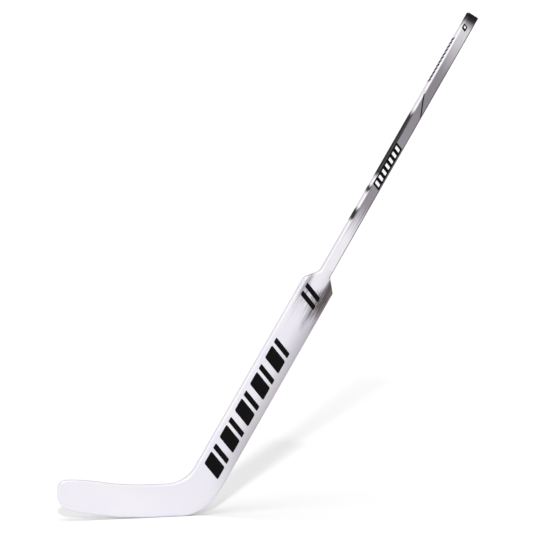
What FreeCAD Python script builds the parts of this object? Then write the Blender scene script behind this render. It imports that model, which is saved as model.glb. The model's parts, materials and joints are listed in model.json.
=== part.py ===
"""Goaltender's ice hockey stick, as a parametric FreeCAD document.

Frame: the stick stands upright in use. The origin is the middle of the sole's flat, X runs along the
blade from the toe (-X) to the heel, +Z is up and the backhand face looks along -Y. The shaft leans
towards +X. The shaft's own frame has its Z axis up the shaft and its X axis across the stick's face.
"""
import FreeCAD, Part
import Sketcher
import math
import os

Vector = FreeCAD.Vector

DIMENSIONS = {
    # the whole stick
    "lie_angle": 58.9,            # degrees between the ice and the shaft
    "axis_foot": 43.5,            # where the shaft's centre line meets the ice, from the origin
    "stick_length": 1468.0,       # along the shaft, from the ice to the top of the butt plug
    # shaft
    "shaft_width": 30.0,
    "shaft_depth": 20.0,
    "shaft_corner": 4.0,
    "shaft_wall": 2.0,
    # paddle
    "paddle_width": 88.0,
    "paddle_reach": 672.0,        # along the shaft, from the ice to the foot of the shoulders
    "shoulder_rise": 33.0,
    "shoulder_corner": 9.0,
    "edge_radius": 6.0,           # rounding of the paddle's and the blade's long edges
    # blade
    "blade_height": 83.5,
    "toe_reach": 284.5,
    "toe_upper_radius": 22.0,
    "toe_lower_radius": 42.0,
    "sole_half": 34.0,            # half of the sole's flat
    "rocker_radius": 1000.0,
    "heel_radius": 100.0,
    "heel_ease_radius": 300.0,    # gentler arc that takes the heel into the paddle's edge
    "heel_ease_top": 80.0,        # height at which it meets the edge
    "throat_radius": 84.0,
    "lift_start": 48.5,           # where the blade's top edge starts to rise towards the toe
    "lift_radius": 740.0,
    "crest_radius": 453.0,
    "toe_depth": 13.0,
    "toe_set": 15.0,              # how far the blade's curve carries the toe towards +Y
    "curve_reach": 305.0,         # length of the curved stretch, past the toe
    # walls and bonds
    "skin": 1.6,
    "bond": 0.2,                  # adhesive line between skins, rails and cores
    "rail": 8.0,
    "spar_width": 25.6,
    "spar_depth": 15.6,
    "tenon": 90.0,                # length of the spar inside the shaft tube
    "spar_foot": 118.0,
    # where the inner pieces meet: along the shaft, and along X in the blade
    "heel_top": 150.0,
    "shoulder_seat": 640.0,
    "blade_start": -14.5,
    "rib_middle": -141.0,
    "rib_width": 10.0,
    "toe_seat": -259.0,
    "blade_middle": 52.0,         # height that parts the sole rail from the top rail
    # butt plug
    "cap_height": 10.0,
    "cap_edge": 2.0,
    "spigot": 45.0,
    "plug_clearance": 0.3,
    "plug_wall": 3.0,
    # printed films
    "film": 0.15,
    "film_slant": 20.0,           # degrees
    "band_foot": 137.0,           # along the shaft, where the paddle's first bar starts
    "band_pitch": 77.0,
    "band_height": 52.0,
    "band_offset": -4.0,          # across the paddle, towards its upper edge
    "wide_bar": 36.0,
    "thin_bar": 14.0,
    "bar_gap": 9.0,
    "mark_middle": 646.0,
    "mark_height": 50.0,
    "mark_offset": -6.0,
    "mark_bar": 13.0,
    "mark_pitch": 23.0,
    "panel_foot": 965.0,
    "panel_length": 122.0,
    "panel_height": 22.0,
}
FAR = 120.0    # half depth of the blocks that cut through the whole stick
UPWARDS = 1400.0
BAND_UNITS = 5
MARK_BARS = 2

doc = FreeCAD.newDocument("goal_stick")
sizes = doc.addObject("Spreadsheet::Sheet", "Sizes")
for row, (alias, number) in enumerate(DIMENSIONS.items(), start=1):
    sizes.set(f"A{row}", alias)
    sizes.set(f"B{row}", str(number))
    sizes.setAlias(f"B{row}", alias)
doc.recompute()


def size(alias):
    """The number that the sheet holds under an alias."""
    return float(getattr(sizes, alias))


def linked(formula):
    """A formula with its aliases written as the sheet's cells."""
    return " ".join(f"Sizes.{word}" if word in DIMENSIONS else word for word in formula.split(" "))


def evaluate(formula):
    """The value now of a formula of aliases, numbers, signs, brackets and tan()."""
    return float(sizes.evalExpression(linked(formula)))


def bind(item, **formulas):
    """Ties properties to formulas; two underscores in a property's name stand for a dot."""
    for prop, formula in formulas.items():
        item.setExpression(prop.replace("__", "."), linked(formula))


def lean(item):
    """Puts an object that was made in the shaft's own frame on the leaning shaft."""
    item.Placement.Rotation = FreeCAD.Rotation(Vector(0, 1, 0), 90 - size("lie_angle"))
    item.setExpression("Placement.Base.x", "Sizes.axis_foot")
    item.setExpression("Placement.Rotation.Angle", "90 - Sizes.lie_angle")


# ---------------------------------------------------------------- sketches

class Drawing:
    """A sketch under construction: geometry, constraints and the formulas that drive them."""

    def __init__(self, sketch):
        self.sketch = sketch

    def line(self, start, end):
        segment = Part.LineSegment(Vector(*start, 0), Vector(*end, 0))
        return self.sketch.addGeometry(segment, False)

    def guide(self, start, end):
        """A construction line."""
        return self.sketch.addGeometry(Part.LineSegment(Vector(*start, 0), Vector(*end, 0)), True)

    def arc(self, centre, radius, start_degrees, end_degrees):
        """An arc that runs anticlockwise."""
        circle = Part.Circle(Vector(*centre, 0), Vector(0, 0, 1), radius)
        span = Part.ArcOfCircle(circle, math.radians(start_degrees), math.radians(end_degrees))
        return self.sketch.addGeometry(span, False)

    def rule(self, kind, *targets):
        return self.sketch.addConstraint(Sketcher.Constraint(kind, *targets))

    def dimension(self, kind, *targets, formula):
        """A dimension driven by a formula of the sheet's aliases."""
        value = evaluate(formula)
        index = self.rule(kind, *targets, math.radians(value) if kind == "Angle" else value)
        self.sketch.setExpression(f"Constraints[{index}]", linked(formula))

    def rectangle(self, width, height):
        """A rectangle centred on the sketch's origin, its sides given as formulas."""
        half_x, half_y = 10.0, 5.0
        corners = [(-half_x, -half_y), (half_x, -half_y), (half_x, half_y), (-half_x, half_y)]
        sides = [self.line(a, b) for a, b in zip(corners, corners[1:] + corners[:1])]
        for side, following in zip(sides, sides[1:] + sides[:1]):
            self.rule("Coincident", side, 2, following, 1)
        for side, kind in zip(sides, ("Horizontal", "Vertical", "Horizontal", "Vertical")):
            self.rule(kind, side)
        self.rule("Symmetric", sides[0], 1, sides[2], 1, -1, 1)
        self.dimension("Distance", sides[0], formula=width)
        self.dimension("Distance", sides[1], formula=height)

    def polygon(self, corners):
        """A closed outline through corners that are pairs of formulas."""
        places = [tuple(evaluate(formula) for formula in corner) for corner in corners]
        sides = [self.line(a, b) for a, b in zip(places, places[1:] + places[:1])]
        for side, following in zip(sides, sides[1:] + sides[:1]):
            self.rule("Coincident", side, 2, following, 1)
        for side, (across, along) in zip(sides, corners):
            self.dimension("DistanceX", -1, 1, side, 1, formula=across)
            self.dimension("DistanceY", -1, 1, side, 1, formula=along)


def loose_sketch(name, rotation):
    """A sketch outside any body, turned from the XY plane."""
    sketch = doc.addObject("Sketcher::SketchObject", name)
    sketch.Placement.Rotation = rotation
    return Drawing(sketch)


FACE_ON = FreeCAD.Rotation(Vector(1, 0, 0), 90)    # sketch x, y to the stick's X, Z
PLAN = FreeCAD.Rotation()


# ---------------------------------------------------------------- outline of paddle, heel and blade

def draw_outline():
    """The face outline of paddle, heel and blade, driven by the sheet."""
    lie = size("lie_angle")
    slope = math.radians(lie)
    reach, rise = size("paddle_reach"), size("shoulder_rise")
    half, half_shaft = size("paddle_width") / 2, size("shaft_width") / 2
    height, foot = size("blade_height"), size("axis_foot")

    def on_shaft(along, across):
        return (foot + along * math.cos(slope) + across * math.sin(slope),
                along * math.sin(slope) - across * math.cos(slope))

    heel_r, throat_r = size("heel_radius"), size("throat_radius")
    ease_r, ease_top = size("heel_ease_radius"), size("heel_ease_top")
    lift_r, crest_r = size("lift_radius"), size("crest_radius")
    upper_r, lower_r, rocker_r = size("toe_upper_radius"), size("toe_lower_radius"), size("rocker_radius")
    toe, sole, lift = size("toe_reach"), size("sole_half"), size("lift_start")
    turn = math.tan(slope / 2)
    edge_foot = foot + half / math.sin(slope)
    ease_end = (edge_foot + ease_top / math.tan(slope), ease_top)
    ease_centre = (ease_end[0] - ease_r * math.sin(slope), ease_top + ease_r * math.cos(slope))
    ease_rise = ease_centre[1] - heel_r
    ease_run = math.sqrt((ease_r - heel_r) ** 2 - ease_rise ** 2)
    ease_start = 360 - math.degrees(math.atan2(ease_rise, ease_run))
    heel_centre = (ease_centre[0] + ease_run, heel_r)
    edge_at_top = foot - half / math.sin(slope) + height / math.tan(slope)
    throat_centre = (edge_at_top - throat_r * turn, height + throat_r)
    crest_x = -(toe - upper_r)
    crest_drop = math.sqrt((lift_r + crest_r) ** 2 - (crest_x + lift) ** 2)
    crest_centre = (crest_x, height + lift_r - crest_drop)
    crest_top = crest_centre[1] + crest_r
    join = math.degrees(math.acos(crest_drop / (lift_r + crest_r)))
    lower_x = -(toe - lower_r)
    lower_z = rocker_r - math.sqrt((rocker_r - lower_r) ** 2 - (lower_x + sole) ** 2)
    dip = math.degrees(math.asin((-lower_x - sole) / (rocker_r - lower_r)))

    draw = loose_sketch("outline", FACE_ON)
    axis = draw.guide((foot, 0), on_shaft(reach + rise, 0))
    flat = draw.line((-sole, 0), (heel_centre[0], 0))
    heel = draw.arc(heel_centre, heel_r, 270, ease_start)
    ease = draw.arc(ease_centre, ease_r, ease_start, 270 + lie)
    lower_edge = draw.line(ease_end, on_shaft(reach, half))
    lower_shoulder = draw.line(on_shaft(reach, half), on_shaft(reach + rise, half_shaft))
    top = draw.line(on_shaft(reach + rise, half_shaft), on_shaft(reach + rise, -half_shaft))
    upper_shoulder = draw.line(on_shaft(reach + rise, -half_shaft), on_shaft(reach, -half))
    throat_end = (throat_centre[0] + throat_r * math.sin(slope),
                  throat_centre[1] - throat_r * math.cos(slope))
    upper_edge = draw.line(on_shaft(reach, -half), throat_end)
    throat = draw.arc(throat_centre, throat_r, 270, 270 + lie)
    blade_top = draw.line((throat_centre[0], height), (-lift, height))
    lift_arc = draw.arc((-lift, height + lift_r), lift_r, 270 - join, 270)
    crest = draw.arc(crest_centre, crest_r, 90 - join, 90)
    upper_toe = draw.arc((crest_x, crest_top - upper_r), upper_r, 90, 180)
    toe_front = draw.line((-toe, crest_top - upper_r), (-toe, lower_z))
    lower_toe = draw.arc((lower_x, lower_z), lower_r, 180, 270 - dip)
    rocker = draw.arc((-sole, rocker_r), rocker_r, 270 - dip, 270)

    # smooth joints: each pair is geometry, end (1 start, 2 end)
    for joint in (
        (flat, 2, heel, 1), (heel, 2, ease, 1), (ease, 2, lower_edge, 1),
        (upper_edge, 2, throat, 2), (throat, 1, blade_top, 1),
        (blade_top, 2, lift_arc, 2), (lift_arc, 1, crest, 1),
        (crest, 2, upper_toe, 1), (upper_toe, 2, toe_front, 1), (toe_front, 2, lower_toe, 1),
        (lower_toe, 2, rocker, 1), (rocker, 2, flat, 1),
    ):
        draw.rule("Tangent", *joint)
    for corner in ((lower_edge, lower_shoulder), (lower_shoulder, top),
                   (top, upper_shoulder), (upper_shoulder, upper_edge)):
        draw.rule("Coincident", corner[0], 2, corner[1], 1)
    draw.rule("PointOnObject", axis, 1, -1)
    draw.rule("PointOnObject", flat, 1, -1)
    draw.rule("Horizontal", flat)
    draw.rule("Horizontal", blade_top)
    draw.rule("Vertical", toe_front)
    draw.rule("Vertical", upper_toe, 1, upper_toe, 3)
    draw.rule("Parallel", lower_edge, axis)
    draw.rule("Symmetric", top, 1, top, 2, axis, 2)
    draw.rule("Perpendicular", top, axis)
    draw.rule("Symmetric", lower_edge, 2, upper_edge, 1, axis)
    draw.rule("Parallel", upper_edge, axis)
    draw.dimension("DistanceX", -1, 1, axis, 1, formula="axis_foot")
    draw.dimension("Angle", axis, formula="lie_angle * 1deg")
    draw.dimension("Distance", axis, formula="paddle_reach + shoulder_rise")
    draw.dimension("Distance", top, formula="shaft_width")
    draw.dimension("Distance", axis, 1, lower_edge, formula="paddle_width / 2")
    draw.dimension("Distance", lower_edge, 2, top, formula="shoulder_rise")
    draw.dimension("DistanceX", flat, 1, -1, 1, formula="sole_half")
    draw.dimension("Radius", heel, formula="heel_radius")
    draw.dimension("Radius", ease, formula="heel_ease_radius")
    draw.dimension("DistanceY", -1, 1, ease, 2, formula="heel_ease_top")
    draw.dimension("Radius", throat, formula="throat_radius")
    draw.dimension("DistanceY", -1, 1, blade_top, 1, formula="blade_height")
    draw.dimension("DistanceX", blade_top, 2, -1, 1, formula="lift_start")
    draw.dimension("Radius", lift_arc, formula="lift_radius")
    draw.dimension("Radius", crest, formula="crest_radius")
    draw.dimension("Radius", upper_toe, formula="toe_upper_radius")
    draw.dimension("DistanceX", toe_front, 1, -1, 1, formula="toe_reach")
    draw.dimension("Radius", lower_toe, formula="toe_lower_radius")
    draw.dimension("Radius", rocker, formula="rocker_radius")
    return draw.sketch


def draw_side(name, offset, toe_offset, far):
    """A plan region between one curved side of the stick and a far straight side.

    The side runs at Y = offset beside the heel and bends to Y = toe_offset past the toe.
    """
    start_y, end_y, far_y = evaluate(offset), evaluate(toe_offset), far
    reach = size("curve_reach")
    drop = end_y - start_y
    radius = (reach ** 2 + drop ** 2) / (2 * drop)
    bend = math.degrees(math.asin(reach / radius))
    draw = loose_sketch(name, PLAN)
    side = draw.line((UPWARDS, start_y), (0, start_y))
    curve = draw.arc((0, start_y + radius), radius, 270 - bend, 270)
    toe_end = draw.line((-reach, end_y), (-reach, far_y))
    back = draw.line((-reach, far_y), (UPWARDS, far_y))
    end = draw.line((UPWARDS, far_y), (UPWARDS, start_y))
    draw.rule("Tangent", side, 2, curve, 2)
    draw.rule("Coincident", curve, 1, toe_end, 1)
    for first, second in ((toe_end, back), (back, end), (end, side)):
        draw.rule("Coincident", first, 2, second, 1)
    for level in (side, back):
        draw.rule("Horizontal", level)
    for upright in (toe_end, end):
        draw.rule("Vertical", upright)
    draw.rule("PointOnObject", side, 2, -2)
    draw.dimension("DistanceY", -1, 1, side, 2, formula=offset)
    draw.dimension("DistanceY", -1, 1, curve, 1, formula=toe_offset)
    draw.dimension("DistanceX", curve, 1, -1, 1, formula="curve_reach")
    draw.dimension("DistanceY", -1, 1, back, 1, formula=str(far_y))
    draw.dimension("DistanceX", -1, 1, end, 1, formula=str(UPWARDS))
    return draw.sketch


# ---------------------------------------------------------------- solids by Part features

def extrude(name, base, forward, backward=0.0, direction=(0, 0, 1)):
    """A closed outline carried along a direction, forward and backward."""
    item = doc.addObject("Part::Extrusion", name)
    item.Base = base
    item.DirMode = "Custom"
    item.Dir = Vector(*direction)
    item.LengthFwd = forward
    item.LengthRev = backward
    item.Solid = True
    return item


def cut(name, base, *tools):
    """Base less the tools."""
    for number, tool in enumerate(tools):
        item = doc.addObject("Part::Cut", f"{name}_cut{number}")
        item.Base, item.Tool = base, tool
        base = item
    base.Label = name
    return base


def common(name, *shapes):
    """What all the shapes share."""
    item = doc.addObject("Part::MultiCommon", name)
    item.Shapes = list(shapes)
    item.Label = name
    return item


def shaft_box(name, foot, length, across_from, across, depth):
    """A box in the shaft's frame, all its sizes formulas; it is centred on the stick's thickness."""
    box = doc.addObject("Part::Box", name)
    bind(box, Length=across, Width=depth, Height=length)
    box.Placement.Rotation = FreeCAD.Rotation(Vector(0, 1, 0), 90 - size("lie_angle"))
    lean_cos, lean_sin = "cos( 90deg - 1deg * lie_angle )", "sin( 90deg - 1deg * lie_angle )"
    bind(
        box,
        Placement__Rotation__Angle="90 - lie_angle",
        Placement__Base__x=f"axis_foot + ( {across_from} ) * {lean_cos} + ( {foot} ) * {lean_sin}",
        Placement__Base__y=f"( {depth} ) / -2",
        Placement__Base__z=f"( {foot} ) * {lean_cos} - ( {across_from} ) * {lean_sin}",
    )
    return box


def blade_box(name, x_from, x_to, z_from, z_to):
    """A box across the blade, its limits in X and Z formulas."""
    box = doc.addObject("Part::Box", name)
    bind(
        box,
        Length=f"( {x_to} ) - ( {x_from} )",
        Width=str(2 * FAR),
        Height=f"( {z_to} ) - ( {z_from} )",
        Placement__Base__x=x_from,
        Placement__Base__y=str(-FAR),
        Placement__Base__z=z_from,
    )
    return box


def inset_block(name, inset):
    """The face outline moved inwards, carried right through the stick's thickness."""
    if inset == "0":
        return extrude(f"{name}_block", outline, FAR, FAR, (0, 1, 0))
    offset = doc.addObject("Part::Offset2D", f"{name}_outline")
    offset.Source = outline
    offset.Join = "Intersection"
    bind(offset, Value=f"0 - ( {inset} )")
    return extrude(f"{name}_block", offset, FAR, FAR, (0, 1, 0))


def long_edges(shape, shoulder_only=False):
    """Numbers of a blank's edges: the ones round its two faces, or the upright ones at the shoulders."""
    chosen = []
    lie = math.radians(size("lie_angle"))
    up = Vector(math.cos(lie), 0, math.sin(lie))
    foot = Vector(size("axis_foot"), 0, 0)
    top = size("paddle_reach") + size("shoulder_rise")
    for number, edge in enumerate(shape.Edges, start=1):
        ends = [vertex.Point for vertex in edge.Vertexes]
        through = all(abs(a.y - b.y) > 5 for a, b in zip(ends, ends[1:]))
        middle = edge.valueAt((edge.FirstParameter + edge.LastParameter) / 2)
        along = (middle - foot).dot(up)
        if shoulder_only:
            near = abs(along - size("paddle_reach")) < size("skin") + 3
            if through and near:
                chosen.append(number)
        elif not through and along < top - size("skin") - 3:
            chosen.append(number)
    return chosen


def rounded(name, base, radius_formula, edges_of, **options):
    """Base with some edges rounded; the edges are chosen by their place."""
    doc.recompute()
    radius = evaluate(radius_formula)
    item = doc.addObject("Part::Fillet", name)
    item.Base = base
    item.Edges = [(number, radius, radius) for number in edges_of(base.Shape, **options)]
    return item


def blank(name, inset):
    """The solid of paddle, heel and blade, its surface moved inwards by an inset (a formula)."""
    block = inset_block(name, inset)
    near = extrude(f"{name}_near", draw_side(
        f"{name}_near_plan", f"( {inset} ) - shaft_depth / 2",
        f"( {inset} ) + toe_set - toe_depth / 2", FAR), UPWARDS, UPWARDS)
    far = extrude(f"{name}_far", draw_side(
        f"{name}_far_plan", f"shaft_depth / 2 - ( {inset} )",
        f"toe_set + toe_depth / 2 - ( {inset} )", FAR), UPWARDS, UPWARDS)
    body = common(f"{name}_sharp", block, cut(f"{name}_band", near, far))
    corners = rounded(f"{name}_corners", body, "shoulder_corner", long_edges, shoulder_only=True)
    return rounded(f"{name}_blank", corners, f"edge_radius - ( {inset} )", long_edges)


pieces = {}


def keep(name, item):
    """Names a finished sub-part."""
    item.Label = name
    pieces[name] = item
    return item


outline = draw_outline()
outer = blank("outer", "0")
cavity = blank("cavity", "skin")
filling = blank("filling", "skin + bond")
doc.recompute()

# The spar runs from the heel up through the paddle, and its top is the tenon in the shaft tube.
spar = keep("core_spar", shaft_box(
    "spar", "spar_foot", "paddle_reach + shoulder_rise + tenon - spar_foot",
    "0 - spar_width / 2", "spar_width", "spar_depth"))
spar_slot = shaft_box(
    "spar_slot", "spar_foot - bond", "paddle_reach + shoulder_rise + tenon",
    "0 - spar_width / 2 - bond", "spar_width + 2 * bond", "spar_depth + 2 * bond")

# Skins: the shell between the outer surface and the cavity, parted at the middle of the thickness.
shell = cut("shell", outer, cavity, spar_slot)
far_half = extrude("far_half", draw_side("far_half_plan", "0", "toe_set", FAR), UPWARDS, UPWARDS)
doc.recompute()
keep("backhand_skin", cut("backhand_skin", shell, far_half))
keep("forehand_skin", common("forehand_skin", shell, far_half))

# Rails and blocks round the edge, foam cores inside them.
core_block = inset_block("core", "skin + bond + rail + bond")
rail_block = inset_block("rail_inner", "skin + bond + rail")
ring = cut("ring", filling, rail_block)
core = common("core", filling, core_block)

WIDE = "paddle_width"
PADDLE_RUN = "shoulder_seat - heel_top"
upper_paddle = shaft_box("upper_paddle", "heel_top", PADDLE_RUN, f"0 - {WIDE}", WIDE, str(2 * FAR))
lower_paddle = shaft_box("lower_paddle", "heel_top", PADDLE_RUN, "0", WIDE, str(2 * FAR))
keep("paddle_rail_upper", common("paddle_rail_upper", ring, upper_paddle))
keep("paddle_rail_lower", common("paddle_rail_lower", ring, lower_paddle))
keep("paddle_core_upper", cut("paddle_core_upper", common("core_up", core, upper_paddle), spar_slot))
keep("paddle_core_lower", cut("paddle_core_lower", common("core_low", core, lower_paddle), spar_slot))

ABOVE = "shoulder_seat + bond"
upper_shoulder = shaft_box("upper_shoulder", ABOVE, WIDE, f"0 - {WIDE}", WIDE, str(2 * FAR))
lower_shoulder = shaft_box("lower_shoulder", ABOVE, WIDE, "0", WIDE, str(2 * FAR))
upper_filling = common("fill_up", filling, upper_shoulder)
lower_filling = common("fill_low", filling, lower_shoulder)
keep("shoulder_block_upper", cut("shoulder_block_upper", upper_filling, spar_slot))
keep("shoulder_block_lower", cut("shoulder_block_lower", lower_filling, spar_slot))

past_heel = shaft_box("past_heel", "heel_top - bond", str(UPWARDS), "0 - 5 * paddle_width",
                      "10 * paddle_width", str(2 * FAR))
BELOW, ABOVE_BLADE = str(-FAR), str(2 * FAR)
heel_side = blade_box("heel_side", "blade_start + bond", str(UPWARDS), BELOW, str(UPWARDS))
keep("heel_block", cut("heel_block", common("heel_part", filling, heel_side), past_heel, spar_slot))

TOE_SIDE = "toe_seat + bond"
RIB_FROM, RIB_TO = "rib_middle - rib_width / 2", "rib_middle + rib_width / 2"
sole_part = blade_box("sole_part", TOE_SIDE, "blade_start", BELOW, "blade_middle")
top_part = blade_box("top_part", TOE_SIDE, "blade_start", "blade_middle", ABOVE_BLADE)
keep("blade_sole_rail", common("blade_sole_rail", ring, sole_part))
keep("blade_top_rail", common("blade_top_rail", ring, top_part))
heel_core_part = blade_box("heel_core_part", f"{RIB_TO} + bond", "blade_start", BELOW, ABOVE_BLADE)
rib_part = blade_box("rib_part", RIB_FROM, RIB_TO, BELOW, ABOVE_BLADE)
toe_core_part = blade_box("toe_core_part", TOE_SIDE, f"{RIB_FROM} - bond", BELOW, ABOVE_BLADE)
keep("blade_core_heel", common("blade_core_heel", core, heel_core_part))
keep("blade_rib", common("blade_rib", core, rib_part))
keep("blade_core_toe", common("blade_core_toe", core, toe_core_part))
toe_part = blade_box("toe_part", str(-UPWARDS), "toe_seat", BELOW, ABOVE_BLADE)
keep("toe_block", common("toe_block", filling, toe_part))


# ---------------------------------------------------------------- shaft tube and butt plug

def body_plane(body, role):
    """One of a body's own origin planes."""
    return next(plane for plane in body.Origin.OriginFeatures if plane.Role == role)


def body_sketch(body, name, height="0"):
    """A sketch across the shaft in a body, at a height that is a formula."""
    sketch = body.newObject("Sketcher::SketchObject", name)
    sketch.AttachmentSupport = [(body_plane(body, "XY_Plane"), "")]
    sketch.MapMode = "FlatFace"
    bind(sketch, AttachmentOffset__Base__z=height)
    return Drawing(sketch)


def pad(body, name, sketch, length, reversed_way=False):
    """A pad of a sketch, its length a formula."""
    item = body.newObject("PartDesign::Pad", name)
    item.Profile = sketch
    item.Reversed = reversed_way
    bind(item, Length=length)
    return item


def pocket(body, name, sketch, length, reversed_way):
    """A pocket of a sketch, its length a formula; it has to take material away."""
    doc.recompute()
    before = body.Shape.Volume
    item = body.newObject("PartDesign::Pocket", name)
    item.Profile = sketch
    item.Reversed = reversed_way
    bind(item, Length=length)
    doc.recompute()
    if body.Shape.Volume > before - 1:
        raise RuntimeError(f"{name} cuts nothing")
    return item


def round_uprights(body, name, base, radius, keep_edge):
    """Rounds the edges of a body's feature that keep_edge chooses."""
    doc.recompute()
    edges = [f"Edge{n}" for n, edge in enumerate(base.Shape.Edges, start=1) if keep_edge(edge)]
    item = body.newObject("PartDesign::Fillet", name)
    item.Base = (base, edges)
    bind(item, Radius=radius)
    return item


def is_upright(edge):
    """True for a straight edge along the shaft."""
    if len(edge.Vertexes) != 2:
        return False
    run = edge.Vertexes[1].Point - edge.Vertexes[0].Point
    return abs(run.z) > 0.99 * run.Length


def make_tube():
    """The hollow shaft, from the shoulders to the foot of the plug's cap."""
    body = doc.addObject("PartDesign::Body", "tube")
    foot = "paddle_reach + shoulder_rise"
    length = f"stick_length - cap_height - ( {foot} )"
    outside = body_sketch(body, "tube_outside", foot)
    outside.rectangle("shaft_width", "shaft_depth")
    wall = pad(body, "tube_wall", outside.sketch, length)
    round_uprights(body, "tube_corners", wall, "shaft_corner", is_upright)
    inside = body_sketch(body, "tube_inside", foot)
    inside.rectangle("shaft_width - 2 * shaft_wall", "shaft_depth - 2 * shaft_wall")
    pocket(body, "tube_bore", inside.sketch, length, True)
    lean(body)
    return keep("shaft_tube", body)


def make_plug():
    """The butt plug: a cap as wide as the shaft and a hollow spigot inside the tube."""
    body = doc.addObject("PartDesign::Body", "plug")
    seat = "stick_length - cap_height"
    across = body_sketch(body, "cap_outline", seat)
    across.rectangle("shaft_width", "shaft_depth")
    cap = pad(body, "cap", across.sketch, "cap_height")
    corners = round_uprights(body, "cap_corners", cap, "shaft_corner", is_upright)
    top = size("stick_length")
    rim = round_uprights(body, "cap_rim", corners, "cap_edge",
                         lambda edge: all(abs(v.Point.z - top) < 0.01 for v in edge.Vertexes))
    outside = body_sketch(body, "spigot_outline", seat)
    less = "2 * shaft_wall - 2 * plug_clearance"
    outside.rectangle(f"shaft_width - {less}", f"shaft_depth - {less}")
    pad(body, "spigot", outside.sketch, "spigot", True)
    inside = body_sketch(body, "spigot_hollow", f"{seat} - spigot")
    inside.rectangle(f"shaft_width - {less} - 2 * plug_wall", f"shaft_depth - {less} - 2 * plug_wall")
    pocket(body, "spigot_bore", inside.sketch, "spigot", True)
    lean(body)
    return keep("butt_plug", body)


# ---------------------------------------------------------------- printed films

def film_on_face(name, parallelograms, level, side):
    """Thin parallelograms printed on a face that looks along Y, in the shaft's frame.

    Each parallelogram is (foot along the shaft, middle across, length, height) as formulas. side is -1
    for the backhand face and 1 for the forehand face; level is the face's distance from the middle.
    """
    body = doc.addObject("PartDesign::Body", f"{name}_body")
    body.AllowCompound = True
    sketch = body.newObject("Sketcher::SketchObject", f"{name}_print")
    sketch.AttachmentSupport = [(body_plane(body, "XZ_Plane"), "")]
    sketch.MapMode = "FlatFace"
    bind(sketch, AttachmentOffset__Base__z=f"( {level} ) * {-side}")
    draw = Drawing(sketch)
    for foot, middle, length, height in parallelograms:
        low = f"{middle} - ( {height} ) / 2"
        high = f"{middle} + ( {height} ) / 2"
        shift = f"( {height} ) * tan( 1deg * film_slant )"
        draw.polygon([
            (low, foot),
            (high, f"{foot} - {shift}"),
            (high, f"{foot} - {shift} + {length}"),
            (low, f"{foot} + {length}"),
        ])
    pad(body, f"{name}_ink", sketch, "film", side > 0)
    lean(body)
    return keep(name, body)


def paddle_bars(name, side):
    """Five pairs of a wide and a thin slanted bar along the paddle."""
    bars = []
    for unit in range(BAND_UNITS):
        start = f"band_foot + {unit} * band_pitch"
        bars.append((start, "band_offset", "wide_bar", "band_height"))
        bars.append((f"{start} + wide_bar + bar_gap", "band_offset", "thin_bar", "band_height"))
    return film_on_face(name, bars, "shaft_depth / 2", side)


def shoulder_mark(name, side):
    """Two short slanted bars below the shoulders."""
    bars = [
        (f"mark_middle + ( {2 * n - 1} * mark_pitch - mark_bar ) / 2",
         "mark_offset", "mark_bar", "mark_height")
        for n in range(MARK_BARS)
    ]
    return film_on_face(name, bars, "shaft_depth / 2", side)


make_tube()
make_plug()
paddle_bars("paddle_bars_backhand", -1)
paddle_bars("paddle_bars_forehand", 1)
shoulder_mark("shoulder_mark_backhand", -1)
shoulder_mark("shoulder_mark_forehand", 1)
for face, side_sign in (("backhand", -1), ("forehand", 1)):
    film_on_face(f"shaft_panel_{face}", [("panel_foot", "0", "panel_length", "panel_height")],
                 "shaft_depth / 2", side_sign)

doc.recompute()


# ---------------------------------------------------------------- checks and files

def check(name, item):
    """Stops if a sub-part isn't a sound closed solid."""
    shape = item.Shape
    if shape.isNull() or not shape.isValid() or not shape.Solids:
        raise RuntimeError(f"{name} is not a valid solid")


for item in doc.Objects:
    if "Invalid" in item.State or "Error" in item.State:
        raise RuntimeError(f"{item.Name} failed: {item.State}")
for name, item in pieces.items():
    check(name, item)

os.makedirs("parts", exist_ok=True)
for name, item in pieces.items():
    item.Shape.exportStep(f"parts/{name}.step")
    print(f"{name}: {len(item.Shape.Solids)} solid(s), {item.Shape.Volume / 1000:.2f} cm3")
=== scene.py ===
"""Looks of a goaltender's ice hockey stick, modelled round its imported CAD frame.

The stick stands upright in use: X runs along the blade from the toe (-X) to the heel, +Z is up and the
backhand face looks along -Y. The shaft leans towards +X. Sizes are in millimetres until they are placed.
"""

import json
import logging
import math
from collections.abc import Callable, Iterator
from contextlib import contextmanager
from dataclasses import dataclass, field
from enum import Enum
from functools import partial
from typing import Any

import bmesh
import bpy
from mathutils import Matrix, Vector


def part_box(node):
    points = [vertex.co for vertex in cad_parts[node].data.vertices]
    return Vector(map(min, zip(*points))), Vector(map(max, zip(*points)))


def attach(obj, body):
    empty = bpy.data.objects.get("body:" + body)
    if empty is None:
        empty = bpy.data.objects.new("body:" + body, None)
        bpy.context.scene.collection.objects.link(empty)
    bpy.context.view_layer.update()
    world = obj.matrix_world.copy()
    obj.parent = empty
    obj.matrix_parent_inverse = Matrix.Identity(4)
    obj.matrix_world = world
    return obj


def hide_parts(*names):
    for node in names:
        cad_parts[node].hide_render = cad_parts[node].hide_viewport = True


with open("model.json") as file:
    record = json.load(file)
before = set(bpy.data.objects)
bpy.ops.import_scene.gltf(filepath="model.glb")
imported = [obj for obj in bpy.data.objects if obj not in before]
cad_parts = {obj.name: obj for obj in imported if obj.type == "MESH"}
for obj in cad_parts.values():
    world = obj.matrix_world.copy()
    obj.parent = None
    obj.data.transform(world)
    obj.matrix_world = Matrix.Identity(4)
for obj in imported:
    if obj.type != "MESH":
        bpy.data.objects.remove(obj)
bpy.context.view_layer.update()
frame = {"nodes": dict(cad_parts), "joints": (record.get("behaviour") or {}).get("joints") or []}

MM = 0.001
STICK = "stick"
PLUG = "plug"
NEAR = 1e-5                      # metres within which two points are one

log = logging.getLogger("goal_stick")


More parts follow.
